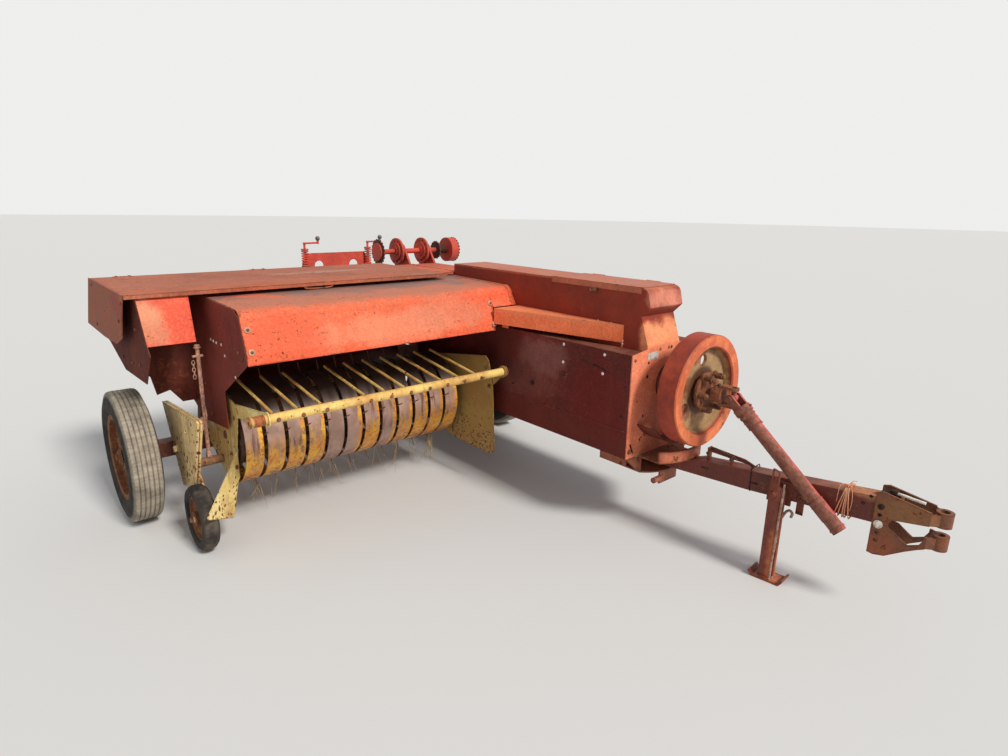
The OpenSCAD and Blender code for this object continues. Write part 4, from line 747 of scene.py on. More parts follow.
# Painted shade: the web darker brown close round the clutch, inside about 0.1 to 0.125 m from the shaft.
fly_web = fly.blend(fly_web, (96, 64, 46), fly_out, 0.125, 0.1)
fly.coat = fly.blend(fly_web, fly_rim, fly_out, 0.196, 0.204)
fly_fine = fly.noise(30, 8, 0.72)
fly.shade(fly_fine, 0.3, 0.7, 0.8, 1.14)
fly.lay(RUST_MID, fly.step(fly.noise(6, 6, 0.7, stretch=(1, 6, 1)), 0.5, 0.68, 0.0, 0.6))
fly.lay(fly.rust(), fly.step(fly.times(fly.edges(0.01), 0.14, fly_fine), 0.61, 0.67))
dress(fly.done(fly.step(fly_fine, 0.3, 0.7, 0.45, 0.7), fly_fine, 0.35, 0.002), "flywheel")
clutch_iron = worn_iron("clutch_iron", (118, 70, 50), (160, 104, 74), seed=19, rough=0.55)
dress(clutch_iron, "slip_clutch", "input_yoke")


def circle(total, radius, first=0):
    """Places round a circle, as two distances from its middle."""
    for count in range(total):
        turn = math.radians(360 / total * count + first)
        yield radius * math.cos(turn), radius * math.sin(turn)


mesh = bmesh.new()
for x, z in circle(6, 0.084):
    at = place(x, -1.9752, shaft_z + z)
    coil(mesh, at, at + Vector((0, -0.032, 0)), 0.0135, 0.0022, 5, 8)
    hex_bolt(mesh, at + Vector((0, -0.0345, 0)), FRONT, 0.018, 0.009, 0.015)
finished("clutch_springs", mesh, bolt_iron, "flywheel", 60)
mesh = bmesh.new()
for x, z in circle(3, 0.048, 90):
    hex_bolt(mesh, place(x, -1.9748, shaft_z + z), FRONT, 0.016, 0.008)
hex_bolt(mesh, place(0.0, -2.022, shaft_z + 0.0398), UP, 0.014, 0.009)
finished("clutch_bolts", mesh, dark_steel, "flywheel")

# Drive shaft. Pink red over rust; the half of the tube that faces -X is laid
# over with dark brown, partly worn steel and partly painted shade. Rings at
# both ends, and bearing caps and a grease nipple in the joint.
drop = math.radians(40.1)
shaft_way = Vector((0, -math.cos(drop), -math.sin(drop)))
shaft_up = Vector((0, -math.sin(drop), math.cos(drop)))
cross_at = place(0, -2.096, shaft_z)
shaft_length = (cross_at.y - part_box("drive_tube")[0].y - 0.02) / math.cos(drop)
shaft = Finish("shaft_paint", 20)
shaft_cloud = shaft.noise(9, 7, 0.7)
shaft.coat = shaft.blend((198, 100, 92), (174, 82, 72), shaft_cloud, 0.4, 0.62)
# Partly rust, partly painted shade: dark brown laid over the half of the tube that faces -X.
shaft_rust_and_shade = shaft.blend((128, 88, 68), (96, 62, 48), shaft.noise(30, 7, 0.72), 0.4, 0.6)
shaded_half = shaft.step(shaft.times(shaft.towards("X"), -0.5, shaft_cloud), 0.56, 0.72)
shaft.lay(shaft_rust_and_shade, shaft.times(shaded_half, 0.85))
shaft_fine = shaft.noise(60, 7, 0.75)
shaft_bare = shaft.step(shaft.times(shaft.edges(0.006), 0.2, shaft_fine), 0.56, 0.62)
shaft.lay(shaft.rust(), shaft.times(shaft_bare, 0.8))
shaft_coat = shaft.done(shaft.step(shaft_fine, 0.3, 0.7, 0.45, 0.7), shaft_fine, 0.35, 0.0015)
dress(shaft_coat, "drive_tube")
mesh = bmesh.new()
for far, wide, high in ((0.092, 0.0365, 0.01), (0.118, 0.0345, 0.006), (0.15, 0.0345, 0.006),
                        (shaft_length - 0.145, 0.0325, 0.006), (shaft_length - 0.125, 0.0325, 0.004),
                        (shaft_length - 0.018, 0.0325, 0.008)):
    rod(mesh, cross_at + shaft_way * far, cross_at + shaft_way * (far + high), wide, 28)
finished("shaft_rings", mesh, shaft_coat, "drive_shaft", 60)
mesh = bmesh.new()
for side in (-1, 1):
    for way, near, far in ((Vector((side, 0, 0)), 0.0375, 0.0435), (Vector((0, 0, side)), 0.0405, 0.046)):
        rod(mesh, cross_at + way * near, cross_at + way * far, 0.0135, 20)
nipple = cross_at + shaft_way * 0.07
rod(mesh, nipple + shaft_up * 0.039, nipple + shaft_up * 0.046, 0.0045, 10)
dome_bolt(mesh, nipple + shaft_up * 0.047, shaft_up, 0.0035, 0.004)
hex_bolt(mesh, cross_at + shaft_way * 0.104 + Vector((-0.0325, 0, 0)), RIGHT, 0.012, 0.006)
finished("joint_caps", mesh, clutch_iron, "drive_shaft")

# Wheels. Ribbed implement tyres with dusty tread, painted shade in the tread's
# grooves and walls of dark rubber darkened further as painted shade, on pressed
# rims rusted right through, with lug nuts, a hub cap and a valve.
rubber = Finish("tyre_rubber", 21)
tyre_out = rubber.from_line(place(0, 0, axle_z), "X")
dust_cloud = rubber.noise(9, 7, 0.7)
dust_fine = rubber.noise(70, 5, 0.7)
# Walls: dark rubber, made darker still as painted shade.
wall_tone_and_shade = rubber.blend((34, 32, 30), (62, 56, 50), dust_cloud, 0.4, 0.66)
wall_tone_and_shade = rubber.mix(wall_tone_and_shade, (78, 70, 61), rubber.step(rubber.noise(3, 4, 0.6), 0.56, 0.7, 0.0, 0.5))
rubber.coat = rubber.blend((140, 130, 116), (176, 164, 146), dust_cloud, 0.38, 0.6)
# Painted shade: the tread darker below the tops of its ribs, in its grooves.
rubber.shade(tyre_out, 0.3235, 0.3265, 0.8, 1.0)
rubber.shade(rubber.noise(26, 6, 0.7, stretch=(0.4, 3, 3)), 0.34, 0.62, 0.72, 1.05)
rubber.coat = rubber.blend(wall_tone_and_shade, rubber.coat, tyre_out, 0.296, 0.316)
rubber.lay((110, 72, 50), rubber.times(rubber.step(tyre_out, 0.226, 0.202), 0.7))
ring_wave = rubber.calc("SINE", rubber.times(tyre_out, 700.0))
ring_wave = rubber.times(ring_wave, rubber.step(tyre_out, 0.262, 0.25, 0.0, 0.5))
rubber_coat = rubber.done(0.88, rubber.times(dust_fine, 0.6, ring_wave), 0.5, 0.0012)
dress(rubber_coat, "tyre_right", "tyre_left")

gauge_low, gauge_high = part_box("gauge_tyre")
gauge_mid = (gauge_low + gauge_high) / 2
gauge = Finish("gauge_rubber", 22)
gauge_cloud = gauge.noise(12, 7, 0.7)
gauge_tread = gauge.blend((52, 47, 44), (94, 84, 74), gauge_cloud, 0.38, 0.62)
gauge.coat = gauge.blend((58, 54, 51), gauge_tread, gauge.from_line(gauge_mid, "X"), 0.138, 0.15)
gauge.lay((34, 32, 31), gauge.step(gauge.noise(7, 5, 0.6), 0.56, 0.62, 0.0, 0.8))
gauge_relief = gauge.calc("ADD", gauge_cloud, gauge.noise(60, 4, 0.7))
dress(gauge.done(0.9, gauge_relief, 0.3, 0.001), "gauge_tyre")
rim_iron = worn_iron("rim_iron", (104, 66, 44), (158, 108, 70), seed=23, metal=0.0, rough=0.75, rusty=0.8)
dress(rim_iron, "rim_right", "rim_left", "gauge_rim")

for side, hand in ((-1, "right"), (1, "left")):
    low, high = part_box("rim_" + hand)
    middle = (low + high) / 2
    wall_in = Vector((side, 0, 0))
    hub = Vector((low.x if side < 0 else high.x, middle.y, middle.z))
    mesh = bmesh.new()
    for y, z in circle(6, 0.098, 30):
        hex_bolt(mesh, middle + Vector((side * 0.0175, y, z)), wall_in, 0.022, 0.014, 0.016)
    rod(mesh, hub - wall_in * 0.012, hub - wall_in * 0.001, 0.04, 28, 0.03)
    hex_bolt(mesh, hub - wall_in * 0.001, wall_in, 0.03, 0.01)
    toothed_wheel(mesh, middle + wall_in * 0.045, wall_in, 0.0505, 0.06, 0.063, 16, 0.004)
    bent_rod(mesh, [middle + Vector((side * 0.02, 0.16, 0)), middle + Vector((side * 0.05, 0.152, 0))], 0.004)
    finished("wheel_nuts_" + hand, mesh, rim_iron, hand + "_wheel")
    mesh = bmesh.new()
    for face, radius in ((0.0738, 0.262), (0.0742, 0.272), (0.0708, 0.25)):
        ring = bmesh.ops.create_circle(mesh, segments=72, radius=radius,
                                       matrix=facing(middle + wall_in * face, wall_in))["verts"]
        rims = list({edge for point in ring for edge in point.link_edges})
        grown = bmesh.ops.extrude_edge_only(mesh, edges=rims)["geom"]
        fresh = [item for item in grown if isinstance(item, bmesh.types.BMVert)]
        wider = 1 + 0.0035 / radius
        bmesh.ops.scale(mesh, vec=(1, wider, wider), space=Matrix.Translation(-middle), verts=fresh)
    bmesh.ops.solidify(mesh, geom=mesh.faces[:], thickness=0.0024)
    finished("tyre_wall_ribs_" + hand, mesh, rubber_coat, hand + "_wheel")

mesh = bmesh.new()
hex_bolt(mesh, Vector((gauge_low.x - 0.004, gauge_mid.y, gauge_mid.z)), RIGHT, 0.026, 0.008, 0.017)
for y, z in circle(4, 0.062, 20):
    dome_bolt(mesh, gauge_mid + Vector((-0.0065, y, z)), RIGHT, 0.008, 0.005)
finished("gauge_hub", mesh, bolt_iron, "gauge_wheel")

# Pickup bands. Sprung steel bands rubbed to brown steel by the crop, with old
# yellow left in strips on some, and over the lower half of the outer ones.
# Their upper part is darkened as painted shade under the hood.
band_low, band_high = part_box("stripper_bands")
BANDS, SLOT = 12, 0.019
band_step = (band_high.x - band_low.x + SLOT) / BANDS
bands = Finish("band_steel_paint", 24)
along = bands.calc("DIVIDE", bands.calc("SUBTRACT", bands.axis("X"), band_low.x), band_step)
number = bands.calc("FLOOR", along)
chance = bands.add("TexWhiteNoise", {"W": number}, noise_dimensions="1D").outputs["Value"]
band_z = bands.axis("Z")
band_cloud = bands.noise(9, 8, 0.72)
band_long = bands.noise(5, 6, 0.65, stretch=(6, 1, 1))
band_grit = bands.noise(44, 7, 0.75)
bands.coat = bands.blend((150, 118, 104), (180, 146, 130), band_cloud, 0.36, 0.64)
bands.lay((112, 68, 50), bands.step(band_long, 0.52, 0.66, 0.0, 0.85))
# Painted shade: near black brown over the bands above about 0.6 m, for the hood's shadow.
bands.lay((48, 36, 31), bands.times(bands.step(band_z, 0.565, 0.625), 0.93))
yellow = bands.blend((228, 172, 62), (210, 140, 60), band_cloud, 0.4, 0.6)
yellow = bands.mix(yellow, (170, 98, 54), bands.step(band_grit, 0.5, 0.6, 0.0, 0.9))
outer = bands.calc("MAXIMUM", bands.step(number, 7.5, 8.2), bands.step(number, 1.6, 0.9))
outer = bands.calc("MAXIMUM", outer, bands.step(chance, 0.7, 0.74))
low_down = bands.times(bands.step(bands.times(band_long, 0.34, band_z), 0.68, 0.56), outer)
strip = bands.times(bands.noise(14, 5, 0.7), 0.36, bands.calc("FRACT", along))
strip = bands.times(bands.step(strip, 0.78, 0.84), bands.step(chance, 0.26, 0.3))
strip = bands.times(strip, bands.step(band_z, 0.61, 0.56))
chipped = bands.step(bands.noise(24, 9, 0.74), 0.55, 0.61, 0.0, 0.85)
kept = bands.times(bands.calc("MAXIMUM", low_down, strip), bands.calc("SUBTRACT", 1.0, chipped))
bands.lay(yellow, kept)
bands.lay((132, 74, 46), bands.times(bands.step(band_z, 0.34, 0.27), bands.step(band_grit, 0.42, 0.56)))
band_shine = bands.step(band_cloud, 0.3, 0.7, 0.42, 0.62)
dress(bands.done(band_shine, band_grit, 0.25, 0.001, metal=0.15, soften=0.0015, gloss=0.4), "stripper_bands")

# Pickup shields. Yellow end sheets, dull olive in the shade, with round rust
# spots that run together along their lower edges.


def spotted_yellow(name, bright, dull, seed, spots, low, high, grain=1.0, rusty_from=None):
    """Yellow enamel with groups of round rust spots, thicker towards its lower edge."""
    finish = Finish(name, seed)
    finish.coat = finish.blend(bright, dull, finish.noise(3, 6, 0.65), 0.38, 0.62)
    fine = finish.noise(34, 8, 0.72)
    finish.shade(fine, 0.3, 0.7, 0.86, 1.1)
    lowness = finish.step(finish.axis("Z"), high, low)
    finish.lay((172, 120, 72), finish.times(finish.step(finish.noise(8, 7, 0.7), 0.48, 0.64), 0.45))
    streak = finish.noise(4, 5, 0.6, stretch=(8, 8, 0.5))
    finish.lay((164, 126, 76), finish.step(streak, 0.5, 0.68, 0.0, 0.45))
    group = finish.times(finish.noise(7, 4, 0.6), 1.6, -0.8)
    wander = finish.add("TexNoise", {"Vector": finish.spot, "Scale": 9.0, "Detail": 3.0}).outputs["Color"]
    bent = finish.vector("MULTIPLY_ADD", wander, (0.06, 0.06, 0.06), finish.spot)[0]
    bare = None
    for scale, least, shift in ((24.0 * grain, 0.26, 0.0), (54.0 * grain, 0.3, 0.04)):
        cells = finish.add("TexVoronoi", {"Vector": bent, "Scale": scale, "Randomness": 1.0}).outputs
        chance = finish.add("SeparateColor", {0: cells["Color"]}).outputs[0]
        chance = finish.calc("ADD", finish.times(lowness, spots, chance), group)
        ragged = finish.times(fine, 0.3, cells["Distance"])
        inside = finish.step(ragged, least + 0.22, least + 0.12)
        spot = finish.times(inside, finish.step(chance, 0.92 + shift, 0.98 + shift))
        bare = spot if bare is None else finish.calc("MAXIMUM", bare, spot)
    chips = finish.times(finish.edges(0.008), 0.17, fine)
    chips = finish.times(lowness, 0.08 * spots, chips)
    bare = finish.calc("MAXIMUM", bare, finish.step(chips, 0.63, 0.67))
    if rusty_from is not None:
        rusty_end = finish.step(finish.axis("X"), rusty_from, rusty_from + 0.012, 0.0, 0.85)
        bare = finish.calc("MAXIMUM", bare, rusty_end)
    finish.lay(finish.rust(), bare)
    shine = finish.calc("MAXIMUM", finish.step(fine, 0.3, 0.7, 0.42, 0.6), finish.times(bare, 0.85))
    return finish.done(shine, finish.times(fine, 0.5, finish.times(bare, -1.0)), 0.35, 0.0015, soften=0.002)


arm_yellow = spotted_yellow("arm_yellow", (252, 226, 168), (234, 200, 140), 26, 0.45, 0.2, 0.7, 1.1,
                            case_mid - 1.79)
dress(arm_yellow, "gauge_arm")
dress(spotted_yellow("shield_yellow", (250, 228, 156), (226, 196, 120), 25, 0.85, 0.16, 0.42, 0.85),
      "pickup_shield_right")
dress(spotted_yellow("left_yellow", (176, 144, 82), (158, 124, 70), 25.5, 0.85, 0.2, 0.5, 1.4),
      "pickup_shield_left")
dress(spotted_yellow("pipe_yellow", (238, 204, 120), (216, 164, 92), 27, 0.12, 0.5, 0.8, 1.6), "windguard")
lift_iron = worn_iron("lift_iron", (190, 140, 118), (232, 186, 162), seed=27.5, rusty=0.45)
dress(lift_iron, "lift_rod")
mesh = bmesh.new()
for x, rows in ((-0.376, ((-0.83, 0.7), (-0.86, 0.6), (-0.55, 0.66), (-0.2, 0.58), (-0.12, 0.44))),
                (-1.648, ((-0.55, 0.6), (-0.47, 0.4), (-0.3, 0.33), (-0.12, 0.42), (-0.1, 0.6)))):
    for y, z in rows:
        hex_bolt(mesh, place(x, y, z), RIGHT, 0.014, 0.006, 0.011)
finished("shield_bolts", mesh, bolt_iron, "pickup")

# Gauge wheel bracket. Two pressed yellow plates with rolled edges, an adjusting
# bolt low down and smaller ones above it.
mesh = bmesh.new()
for y, z, *size in ((-0.173, 0.373, 0.03, 0.016, 0.021), (-0.38, 0.52, 0.017, 0.007, 0.012),
                    (-0.247, 0.248, 0.017, 0.007, 0.012)):
    hex_bolt(mesh, place(-1.816, y, z), RIGHT, *size)
finished("gauge_arm_bolts", mesh, arm_yellow, "pickup")
mesh = bmesh.new()
for x in (-1.81, -1.796):
    wire(mesh, place, ((x, -0.56, 0.622), (x, -0.574, 0.612), (x, -0.56, 0.57), (x, -0.5, 0.443),
                       (x, -0.432, 0.3), (x, -0.408, 0.262)), 0.0062, steps=4)
finished("gauge_arm_flange", mesh, arm_yellow, "pickup", 60)

# Lift rod. A rusty rod with a hooked wire, a short chain and a cotter, that
# holds the pickup up.
mesh = bmesh.new()
for count in range(5):
    link = Matrix.Translation(place(-1.738, -0.332, 0.832 - count * 0.017))
    turn = Matrix.Rotation(math.radians(90 * (count % 2)), 4, "Z") @ Matrix.Rotation(math.radians(90), 4, "X")
    oval = link @ turn @ Matrix.Diagonal((0.0065, 0.0115, 1, 1))
    loop = [oval @ Vector((across, up, 0)) for across, up in circle(10, 1)]
    bent_rod(mesh, loop + loop[:1], 0.0021, 6)
wire(mesh, place,
     ((-1.716, -0.338, 0.772), (-1.722, -0.341, 0.7), (-1.712, -0.339, 0.62), (-1.707, -0.336, 0.56),
                   (-1.722, -0.33, 0.53), (-1.727, -0.323, 0.56)), 0.004)
hex_bolt(mesh, place(-1.712, -0.3257, 0.9), UP, 0.024, 0.012, 0.017)
finished("lift_chain", mesh, lift_iron, "pickup", 60)

# Windguard. Rusty nuts where the rods pass the yellow pipe, a worn sleeve near
# its right end and a cap disc at the other.
pipe_y, pipe_z, pipe_r = -0.954, 0.7, 0.021
first_rod, last_rod = band_low.x - case_mid + 0.035, band_high.x - case_mid - 0.094
mesh = bmesh.new()
for count in (0, 1, 2, 4, 5, 6, 7, 8, 9, 10):
    x = first_rod + (last_rod - first_rod) * count / 10
    dome_bolt(mesh, place(x, pipe_y - pipe_r * 0.86, pipe_z - 0.004), (0, -1, 0.1), 0.0105, 0.009)
    start = place(x, pipe_y + pipe_r * 0.75, pipe_z + 0.006)
    rod(mesh, start, place(x, pipe_y + pipe_r + 0.01, pipe_z + 0.01), 0.0105, 12, 0.0085)
finished("guard_nuts", mesh, bolt_iron, "windguard")
mesh = bmesh.new()
for start, end, wide in ((-1.7175, -1.712, 0.0245), (-1.7, -1.655, 0.0232), (-0.3515, -0.3465, 0.029)):
    rod(mesh, place(start, pipe_y, pipe_z), place(end, pipe_y, pipe_z), wide, 24)
hex_bolt(mesh, place(-1.7175, pipe_y, pipe_z), RIGHT, 0.02, 0.0005)
sleeve_rust = worn_iron("sleeve_rust", (150, 82, 50), (196, 120, 70), seed=27.8, metal=0.1, rusty=0.7)
finished("guard_pipe_ends", mesh, sleeve_rust, "windguard")

# Tined reel. Sprung steel tines, polished at their tips, each with a coil at its
# root on the tine bar.
tine_steel = worn_iron("tine_steel", (92, 68, 56), (146, 122, 102), seed=28, metal=0.4, rusty=0.5)
dress(tine_steel, "tine_reel")
reel_low, reel_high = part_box("tine_reel")
reel_mid = (reel_low + reel_high) / 2
mesh = bmesh.new()
for bar in range(4):
    out = Matrix.Rotation(math.radians(90 * bar), 4, "X") @ Vector((0, 0, -0.15))
    for count in range(1, BANDS):
        spot = Vector((band_low.x + count * band_step - SLOT / 2, reel_mid.y, reel_mid.z)) + out
        for shift in (-0.006, 0.0, 0.006):
            start = spot + Vector((shift - 0.0022, 0, 0))
            rod(mesh, start, start + Vector((0.0044, 0, 0)), 0.0185, 14)
finished("tine_coils", mesh, tine_steel, "reel")

# Tongue. The same red as the case, faded, dusty on top and chipped along its
# edges. A lever on its top latches the swing, and a black band holds a lead.
dress(faded_paint(
    "tongue_paint", (124, 62, 52), (104, 56, 48), rust=0.6, seed=29, runs=0.2, wear=1.0, cloud=3,
    dusty=(168, 112, 86),
    patches=[(place(0.09, -2.62, 0.5), (0.08, 0.14, 0.03), (196, 134, 88), 0.8),
             (place(0.07, -2.45, 0.5), (0.08, 0.1, 0.03), (176, 100, 74), 0.7)],
), "tongue_beam")
swing, pivot_y = math.radians(5), -1.6
tongue_left = Vector((math.cos(swing), math.sin(swing), 0))
tongue_out = Vector((math.sin(swing), -math.cos(swing), 0))
tongue_right = -tongue_left


def on_tongue(reach, across, high):
    """A point of the tongue from its pivot: forward, to the left, and up."""
    return place(0, pivot_y, high) + tongue_out * reach + tongue_left * across


# Painted shade: dark bars and discs on the tongue's side stand for its slots and holes.
mesh = bmesh.new()
for reach, long in ((0.395, 0.034), (0.631, 0.03)):
    box_bar(mesh, on_tongue(reach, -0.0391, 0.394), (0.0008, long, 0.009), swing, 0.0002)
for reach in (0.16, 0.24):
    rod(mesh, on_tongue(reach, -0.0388, 0.375), on_tongue(reach, -0.0395, 0.375), 0.006, 14)
finished("tongue_slots", mesh, dark_rust_and_hole_shade, "tongue")

strap = [(0.612, -0.0412, 0.36), (0.612, -0.0412, 0.452), (0.613, -0.036, 0.4585), (0.614, 0.036, 0.4585),
         (0.615, 0.0412, 0.452), (0.615, 0.0412, 0.36), (0.614, 0.036, 0.352), (0.613, -0.036, 0.352),
         (0.612, -0.0412, 0.36)]
mesh = bmesh.new()
bent_rod(mesh, [on_tongue(*point) for point in strap], 0.0024, 6)
band_black = two_tone("band_black", 29.5, (60, 5, 0.7), (28, 27, 27), (58, 54, 50), 0.4, 0.65, 0.7, 0.3,
                      0.0008)
finished("tongue_strap", mesh, band_black, "tongue", 60)

mesh = bmesh.new()
for reach in (0.393, 0.506):
    hex_bolt(mesh, on_tongue(reach, -0.0165, 0.462), tongue_right, 0.015, 0.006)
wire(mesh, on_tongue,
     ((0.399, 0.006, 0.482), (0.42, -0.006, 0.49), (0.46, -0.01, 0.484), (0.5, -0.008, 0.476),
                       (0.53, -0.002, 0.462)), 0.0045)
coil(mesh, on_tongue(0.43, 0.018, 0.476), on_tongue(0.486, 0.018, 0.47), 0.006, 0.0016, 7, 8)
finished("swing_latch", mesh, dark_steel, "tongue", 60)

# Hitch. Thick rusty clevis plates bolted over the tongue's end, with a bright
# pivot bolt and a drawbar pin that has a pale grip.
dress(faded_paint(
    "hitch_paint", (124, 80, 60), (104, 68, 54), rust=1.0, seed=30, runs=0.3, wear=1.0, cloud=6,
    dusty=(146, 104, 80),
    patches=[(on_tongue(1.15, -0.05, 0.29), (0.08, 0.08, 0.05), (156, 84, 58), 0.7),
             (on_tongue(1.2, -0.05, 0.46), (0.1, 0.12, 0.05), (146, 104, 66), 0.6)],
), "hitch_clevis")
clevis, pin = 1.127, 1.155
mesh = bmesh.new()
hex_bolt(mesh, on_tongue(clevis, -0.0494, 0.389), tongue_right, 0.024, 0.01, 0.017)
dome_bolt(mesh, on_tongue(clevis, -0.061, 0.389), tongue_right, 0.008, 0.003)
hex_bolt(mesh, on_tongue(clevis, 0.0494, 0.389), tongue_left, 0.024, 0.01, 0.017)
finished("hitch_bolt", mesh, zinc_metal, "tongue")
mesh = bmesh.new()
hex_bolt(mesh, on_tongue(clevis, -0.0494, 0.463), tongue_right, 0.017, 0.006, 0.012)
for reach, high in ((1.062, 0.453), (1.085, 0.49)):
    dome_bolt(mesh, on_tongue(reach, -0.039, high), tongue_right, 0.007, 0.004)
box_bar(mesh, on_tongue(1.13, 0.0, 0.5095), (0.044, 0.04, 0.006), swing)
rod(mesh, on_tongue(pin, 0.0, 0.498), on_tongue(pin, 0.0, 0.5235), 0.01, 16)
cone(mesh, facing(on_tongue(pin, 0.0, 0.5195), UP), 0.017, 0.014, 0.01, 20)
finished("hitch_pin_head", mesh, dark_rust_and_hole_shade, "tongue")
mesh = bmesh.new()
wire(mesh, on_tongue, ((1.16, -0.004, 0.5165), (1.19, -0.012, 0.518), (1.225, -0.018, 0.5165),
                       (1.262, -0.022, 0.5155)), 0.006, 10)
pale_grip = two_tone("pale_grip", 30.5, (50, 5, 0.6), (238, 236, 228), (206, 198, 184), 0.48, 0.66, 0.5, 0.1,
                     0.0005)
finished("hitch_pin_grip", mesh, pale_grip, "tongue", 60)

# Twine tie. Sun bleached orange twine lashed round the tongue beside the end of
# the drive shaft, knotted on top with short tails.
orange_twine = two_tone("orange_twine", 32, (160, 4, 0.7, (1, 1, 3)), (240, 180, 142), (216, 140, 102),
                        0.42, 0.6, 0.85, 0.5)
tie_at, tie_low, tie_top, strand = 0.985, 0.3705, 0.4885, 0.0024
mesh = bmesh.new()
for top_shift, low_shift, slack in ((0.007, -0.02, 0.003), (0.011, -0.006, 0.0), (0.014, 0.01, 0.004),
                                    (0.017, 0.018, 0.001), (0.02, 0.034, 0.003)):
    right_half = [(0.036, tie_low - 0.005), (0.043, tie_low + 0.006), (0.044 + slack, 0.43),
                  (0.043, tie_top - 0.006), (0.036, tie_top + 0.0035)]
    corners = [(-across, high) for across, high in right_half[1:]] + [(0.0, tie_top + 0.005)]
    corners += right_half[::-1] + [(-0.036, tie_low - 0.005)]
    loop = []
    for across, high in corners:
        share = (tie_top - high) / (tie_top - tie_low)
        loop.append(on_tongue(tie_at + top_shift + (low_shift - top_shift) * share, across, high))
    bent_rod(mesh, loop + loop[:1], strand, 6)
knot_reach, knot_across, knot_high = tie_at + 0.014, -0.022, 0.496
knot_spot = on_tongue(knot_reach, knot_across, knot_high)
for tilt in (0.0, 1.1, 2.1):
    ring = []
    for flat, up in circle(12, 0.01):
        ring.append(knot_spot + Vector((flat * math.cos(tilt), flat * math.sin(tilt), 0.7 * up)))
    bent_rod(mesh, ring + ring[:1], strand, 6)
for tail in (((0.0, 0.004, 0.0), (0.016, -0.006, 0.014), (0.04, -0.004, 0.012), (0.06, 0.002, 0.004)),
             ((0.0, 0.0, 0.002), (-0.014, -0.008, 0.012), (-0.026, -0.026, 0.004), (-0.028, -0.03, -0.028),
              (-0.03, -0.03, -0.066)),
             ((0.0, 0.0, 0.0), (0.012, -0.016, 0.006), (0.022, -0.026, -0.012), (0.026, -0.029, -0.052),
              (0.024, -0.03, -0.088)),
             ((0.0, 0.0, 0.0), (0.004, 0.006, 0.014), (0.012, 0.008, 0.026), (0.024, 0.012, 0.027))):
    line = [on_tongue(knot_reach + reach, knot_across + across, knot_high + high)
            for reach, across, high in tail]
    bent_rod(mesh, smooth_line(line), 0.0018, 5, 0.6)
finished("twine_tie", mesh, orange_twine, "tongue", 60)

# Stand. A swing up leg of folded channel on a boat shaped foot, with a bent
# latch rod, a wire loop over its pivot, a hook and a small dark bracket.
stand_paint = faded_paint(
    "stand_paint", (140, 76, 60), (120, 62, 52), rust=0.6, seed=31, runs=0.3, wear=1.0, cloud=4,
    patches=[(on_tongue(0.775, -0.07, 0.15), (0.06, 0.03, 0.16), (214, 122, 78), 0.85)],
)
bracket_paint = faded_paint("bracket_paint", (118, 62, 50), (104, 58, 48), rust=0.7, seed=31.5, runs=0.3,
                            wear=1.0)
dress(stand_paint, "jack_leg")
dress(bracket_paint, "jack_bracket")
stand_pin, ring_at = 0.745, -0.1155
mesh = bmesh.new()
box_bar(mesh, on_tongue(stand_pin, -0.106, 0.404), (0.004, 0.046, 0.072), swing, 0.0018)
box_bar(mesh, on_tongue(0.771, -0.083, 0.405), (0.046, 0.004, 0.066), swing, 0.0018)
finished("stand_top", mesh, stand_paint, "stand", 60)
mesh = bmesh.new()
box_bar(mesh, on_tongue(stand_pin, -0.1112, 0.433), (0.003, 0.034, 0.106), swing, 0.0012)
wire(mesh, on_tongue, ((0.733, ring_at, 0.462), (0.733, ring_at, 0.512), (0.737, ring_at, 0.5175),
                       (0.755, ring_at, 0.5115), (0.759, ring_at, 0.505), (0.759, ring_at, 0.462)), 0.004,
                       steps=4)
hex_bolt(mesh, on_tongue(stand_pin, -0.1126, 0.405), tongue_right, 0.022, 0.01, 0.016)
finished("stand_pivot_lug", mesh, stand_paint, "tongue", 60)
mesh = bmesh.new()
wire(mesh, on_tongue, ((0.7775, -0.096, 0.455), (0.7785, -0.1, 0.4), (0.777, -0.106, 0.3),
                       (0.778, -0.11, 0.2), (0.776, -0.114, 0.13), (0.775, ring_at, 0.06),
                       (0.775, ring_at, 0.0135)), 0.0052, 10)
pale_rod = worn_iron("pale_rod", (150, 118, 104), (196, 166, 150), seed=33, metal=0.2, rusty=0.5)
finished("stand_latch_rod", mesh, pale_rod, "stand", 60)
mesh = bmesh.new()
wire(mesh, on_tongue, ((0.772, -0.062, 0.285), (0.786, -0.06, 0.318), (0.8, -0.058, 0.33),
                       (0.812, -0.056, 0.318), (0.808, -0.056, 0.3)), 0.0058, 10)
for reach in (0.731, 0.779):
    box_bar(mesh, on_tongue(reach, -0.079, 0.0125), (0.04, 0.006, 0.01), swing)
finished("stand_hook", mesh, pale_rod, "stand", 60)
mesh = bmesh.new()
box_bar(mesh, on_tongue(0.834, -0.0425, 0.36), (0.006, 0.03, 0.085), swing)
box_bar(mesh, on_tongue(0.834, -0.048, 0.325), (0.014, 0.022, 0.006), swing)
hex_bolt(mesh, on_tongue(0.834, -0.0455, 0.385), tongue_right, 0.014, 0.006)
finished("tongue_bracket", mesh, bracket_paint, "tongue")

# Hay left on the machine. Dry stems caught on the tines, the drawbar plates and
# the corner of the case.
dry_straw = two_tone("dry_straw", 34, (40, 5, 0.7), (196, 168, 118), (148, 118, 78), 0.42, 0.62, 0.8, 0.3,
                     0.0005)
draw = random.Random(11)


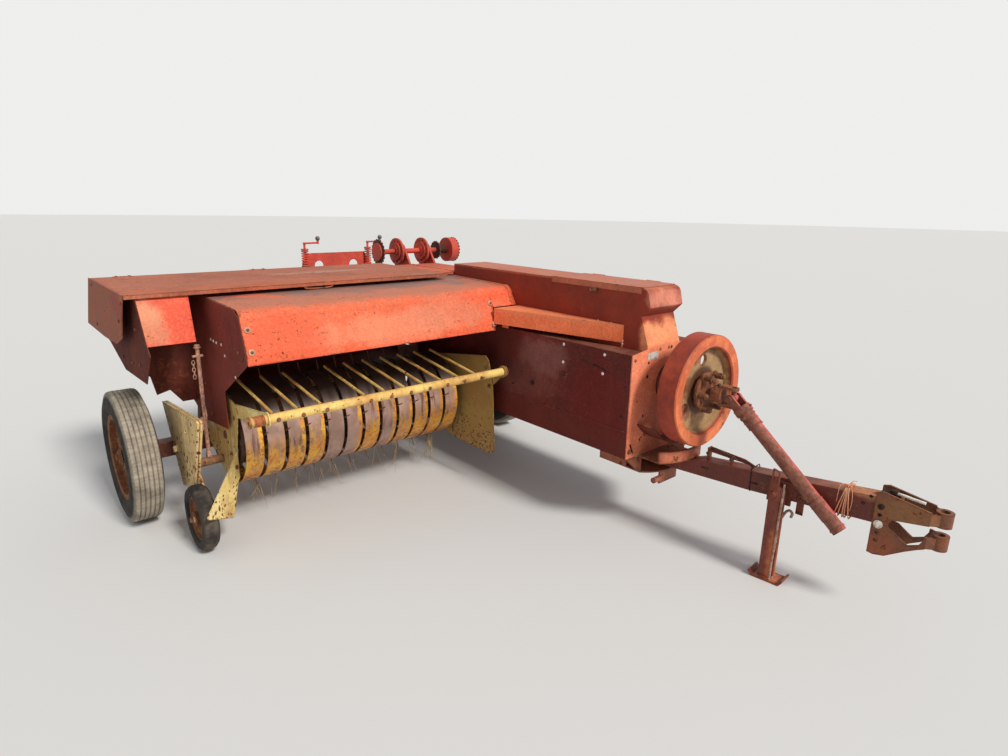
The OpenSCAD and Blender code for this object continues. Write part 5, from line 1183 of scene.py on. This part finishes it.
def wisp(mesh, start, droop, radius):
    """One dry stem that hangs from a point and curls."""
    spread = 0.06
    lean_x, lean_y = draw.uniform(-spread, spread), draw.uniform(-spread, spread)
    line = []
    for count in range(5):
        part = count / 4
        bow = draw.uniform(-0.3, 0.3) * spread
        bend = Vector((lean_x * part + bow * part * part, lean_y * part * part + bow * part, 0))
        line.append(start + bend - Vector((0, 0, droop * part * (1 - 0.25 * part))))
    bent_rod(mesh, smooth_line(line, 3), radius, 4, 0.4)


mesh = bmesh.new()
for count in range(1, BANDS):
    x = band_low.x + count * band_step - SLOT / 2
    for bundle in range(draw.choice((2, 3, 3, 6))):
        start = Vector((x + draw.uniform(-0.006, 0.006), axle_y - 0.42 + draw.uniform(-0.1, 0.07),
                        0.225 + draw.uniform(-0.012, 0.01)))
        wisp(mesh, start, draw.uniform(0.08, 0.24), 0.0015)
for bundle in range(9):
    wisp(mesh, place(-0.5 + draw.uniform(-0.012, 0.012), -0.44, 0.232), draw.uniform(0.14, 0.25), 0.0018)
finished("pickup_straw", mesh, dry_straw, "pickup", 80)
mesh = bmesh.new()
for bundle in range(26):
    turn = math.radians(draw.uniform(-34, 6))
    near_r = draw.uniform(0.285, 0.312)
    high = 0.4285 + draw.uniform(0.0, 0.006)
    start = place(near_r * math.sin(turn), pivot_y - near_r * math.cos(turn), high)
    way = turn + math.radians(90 + draw.uniform(-25, 25))
    long = draw.uniform(0.02, 0.05)
    end = start + Vector((long * math.sin(way), -long * math.cos(way), draw.uniform(0.0, 0.006)))
    rod(mesh, start, end, 0.0013, 5, 0.0007)
for bundle in range(14):
    x, y = -0.19 + draw.uniform(-0.05, 0.03), -1.752 - draw.uniform(0.0, 0.02)
    start = place(x, y, 0.4275 + draw.uniform(0.0, 0.012))
    way = Vector((draw.uniform(-0.03, 0.03), draw.uniform(-0.012, 0.0), draw.uniform(-0.001, 0.016)))
    rod(mesh, start, start + way, 0.0012, 5, 0.0007)
finished("drawbar_straw", mesh, dry_straw, "frame", 80)
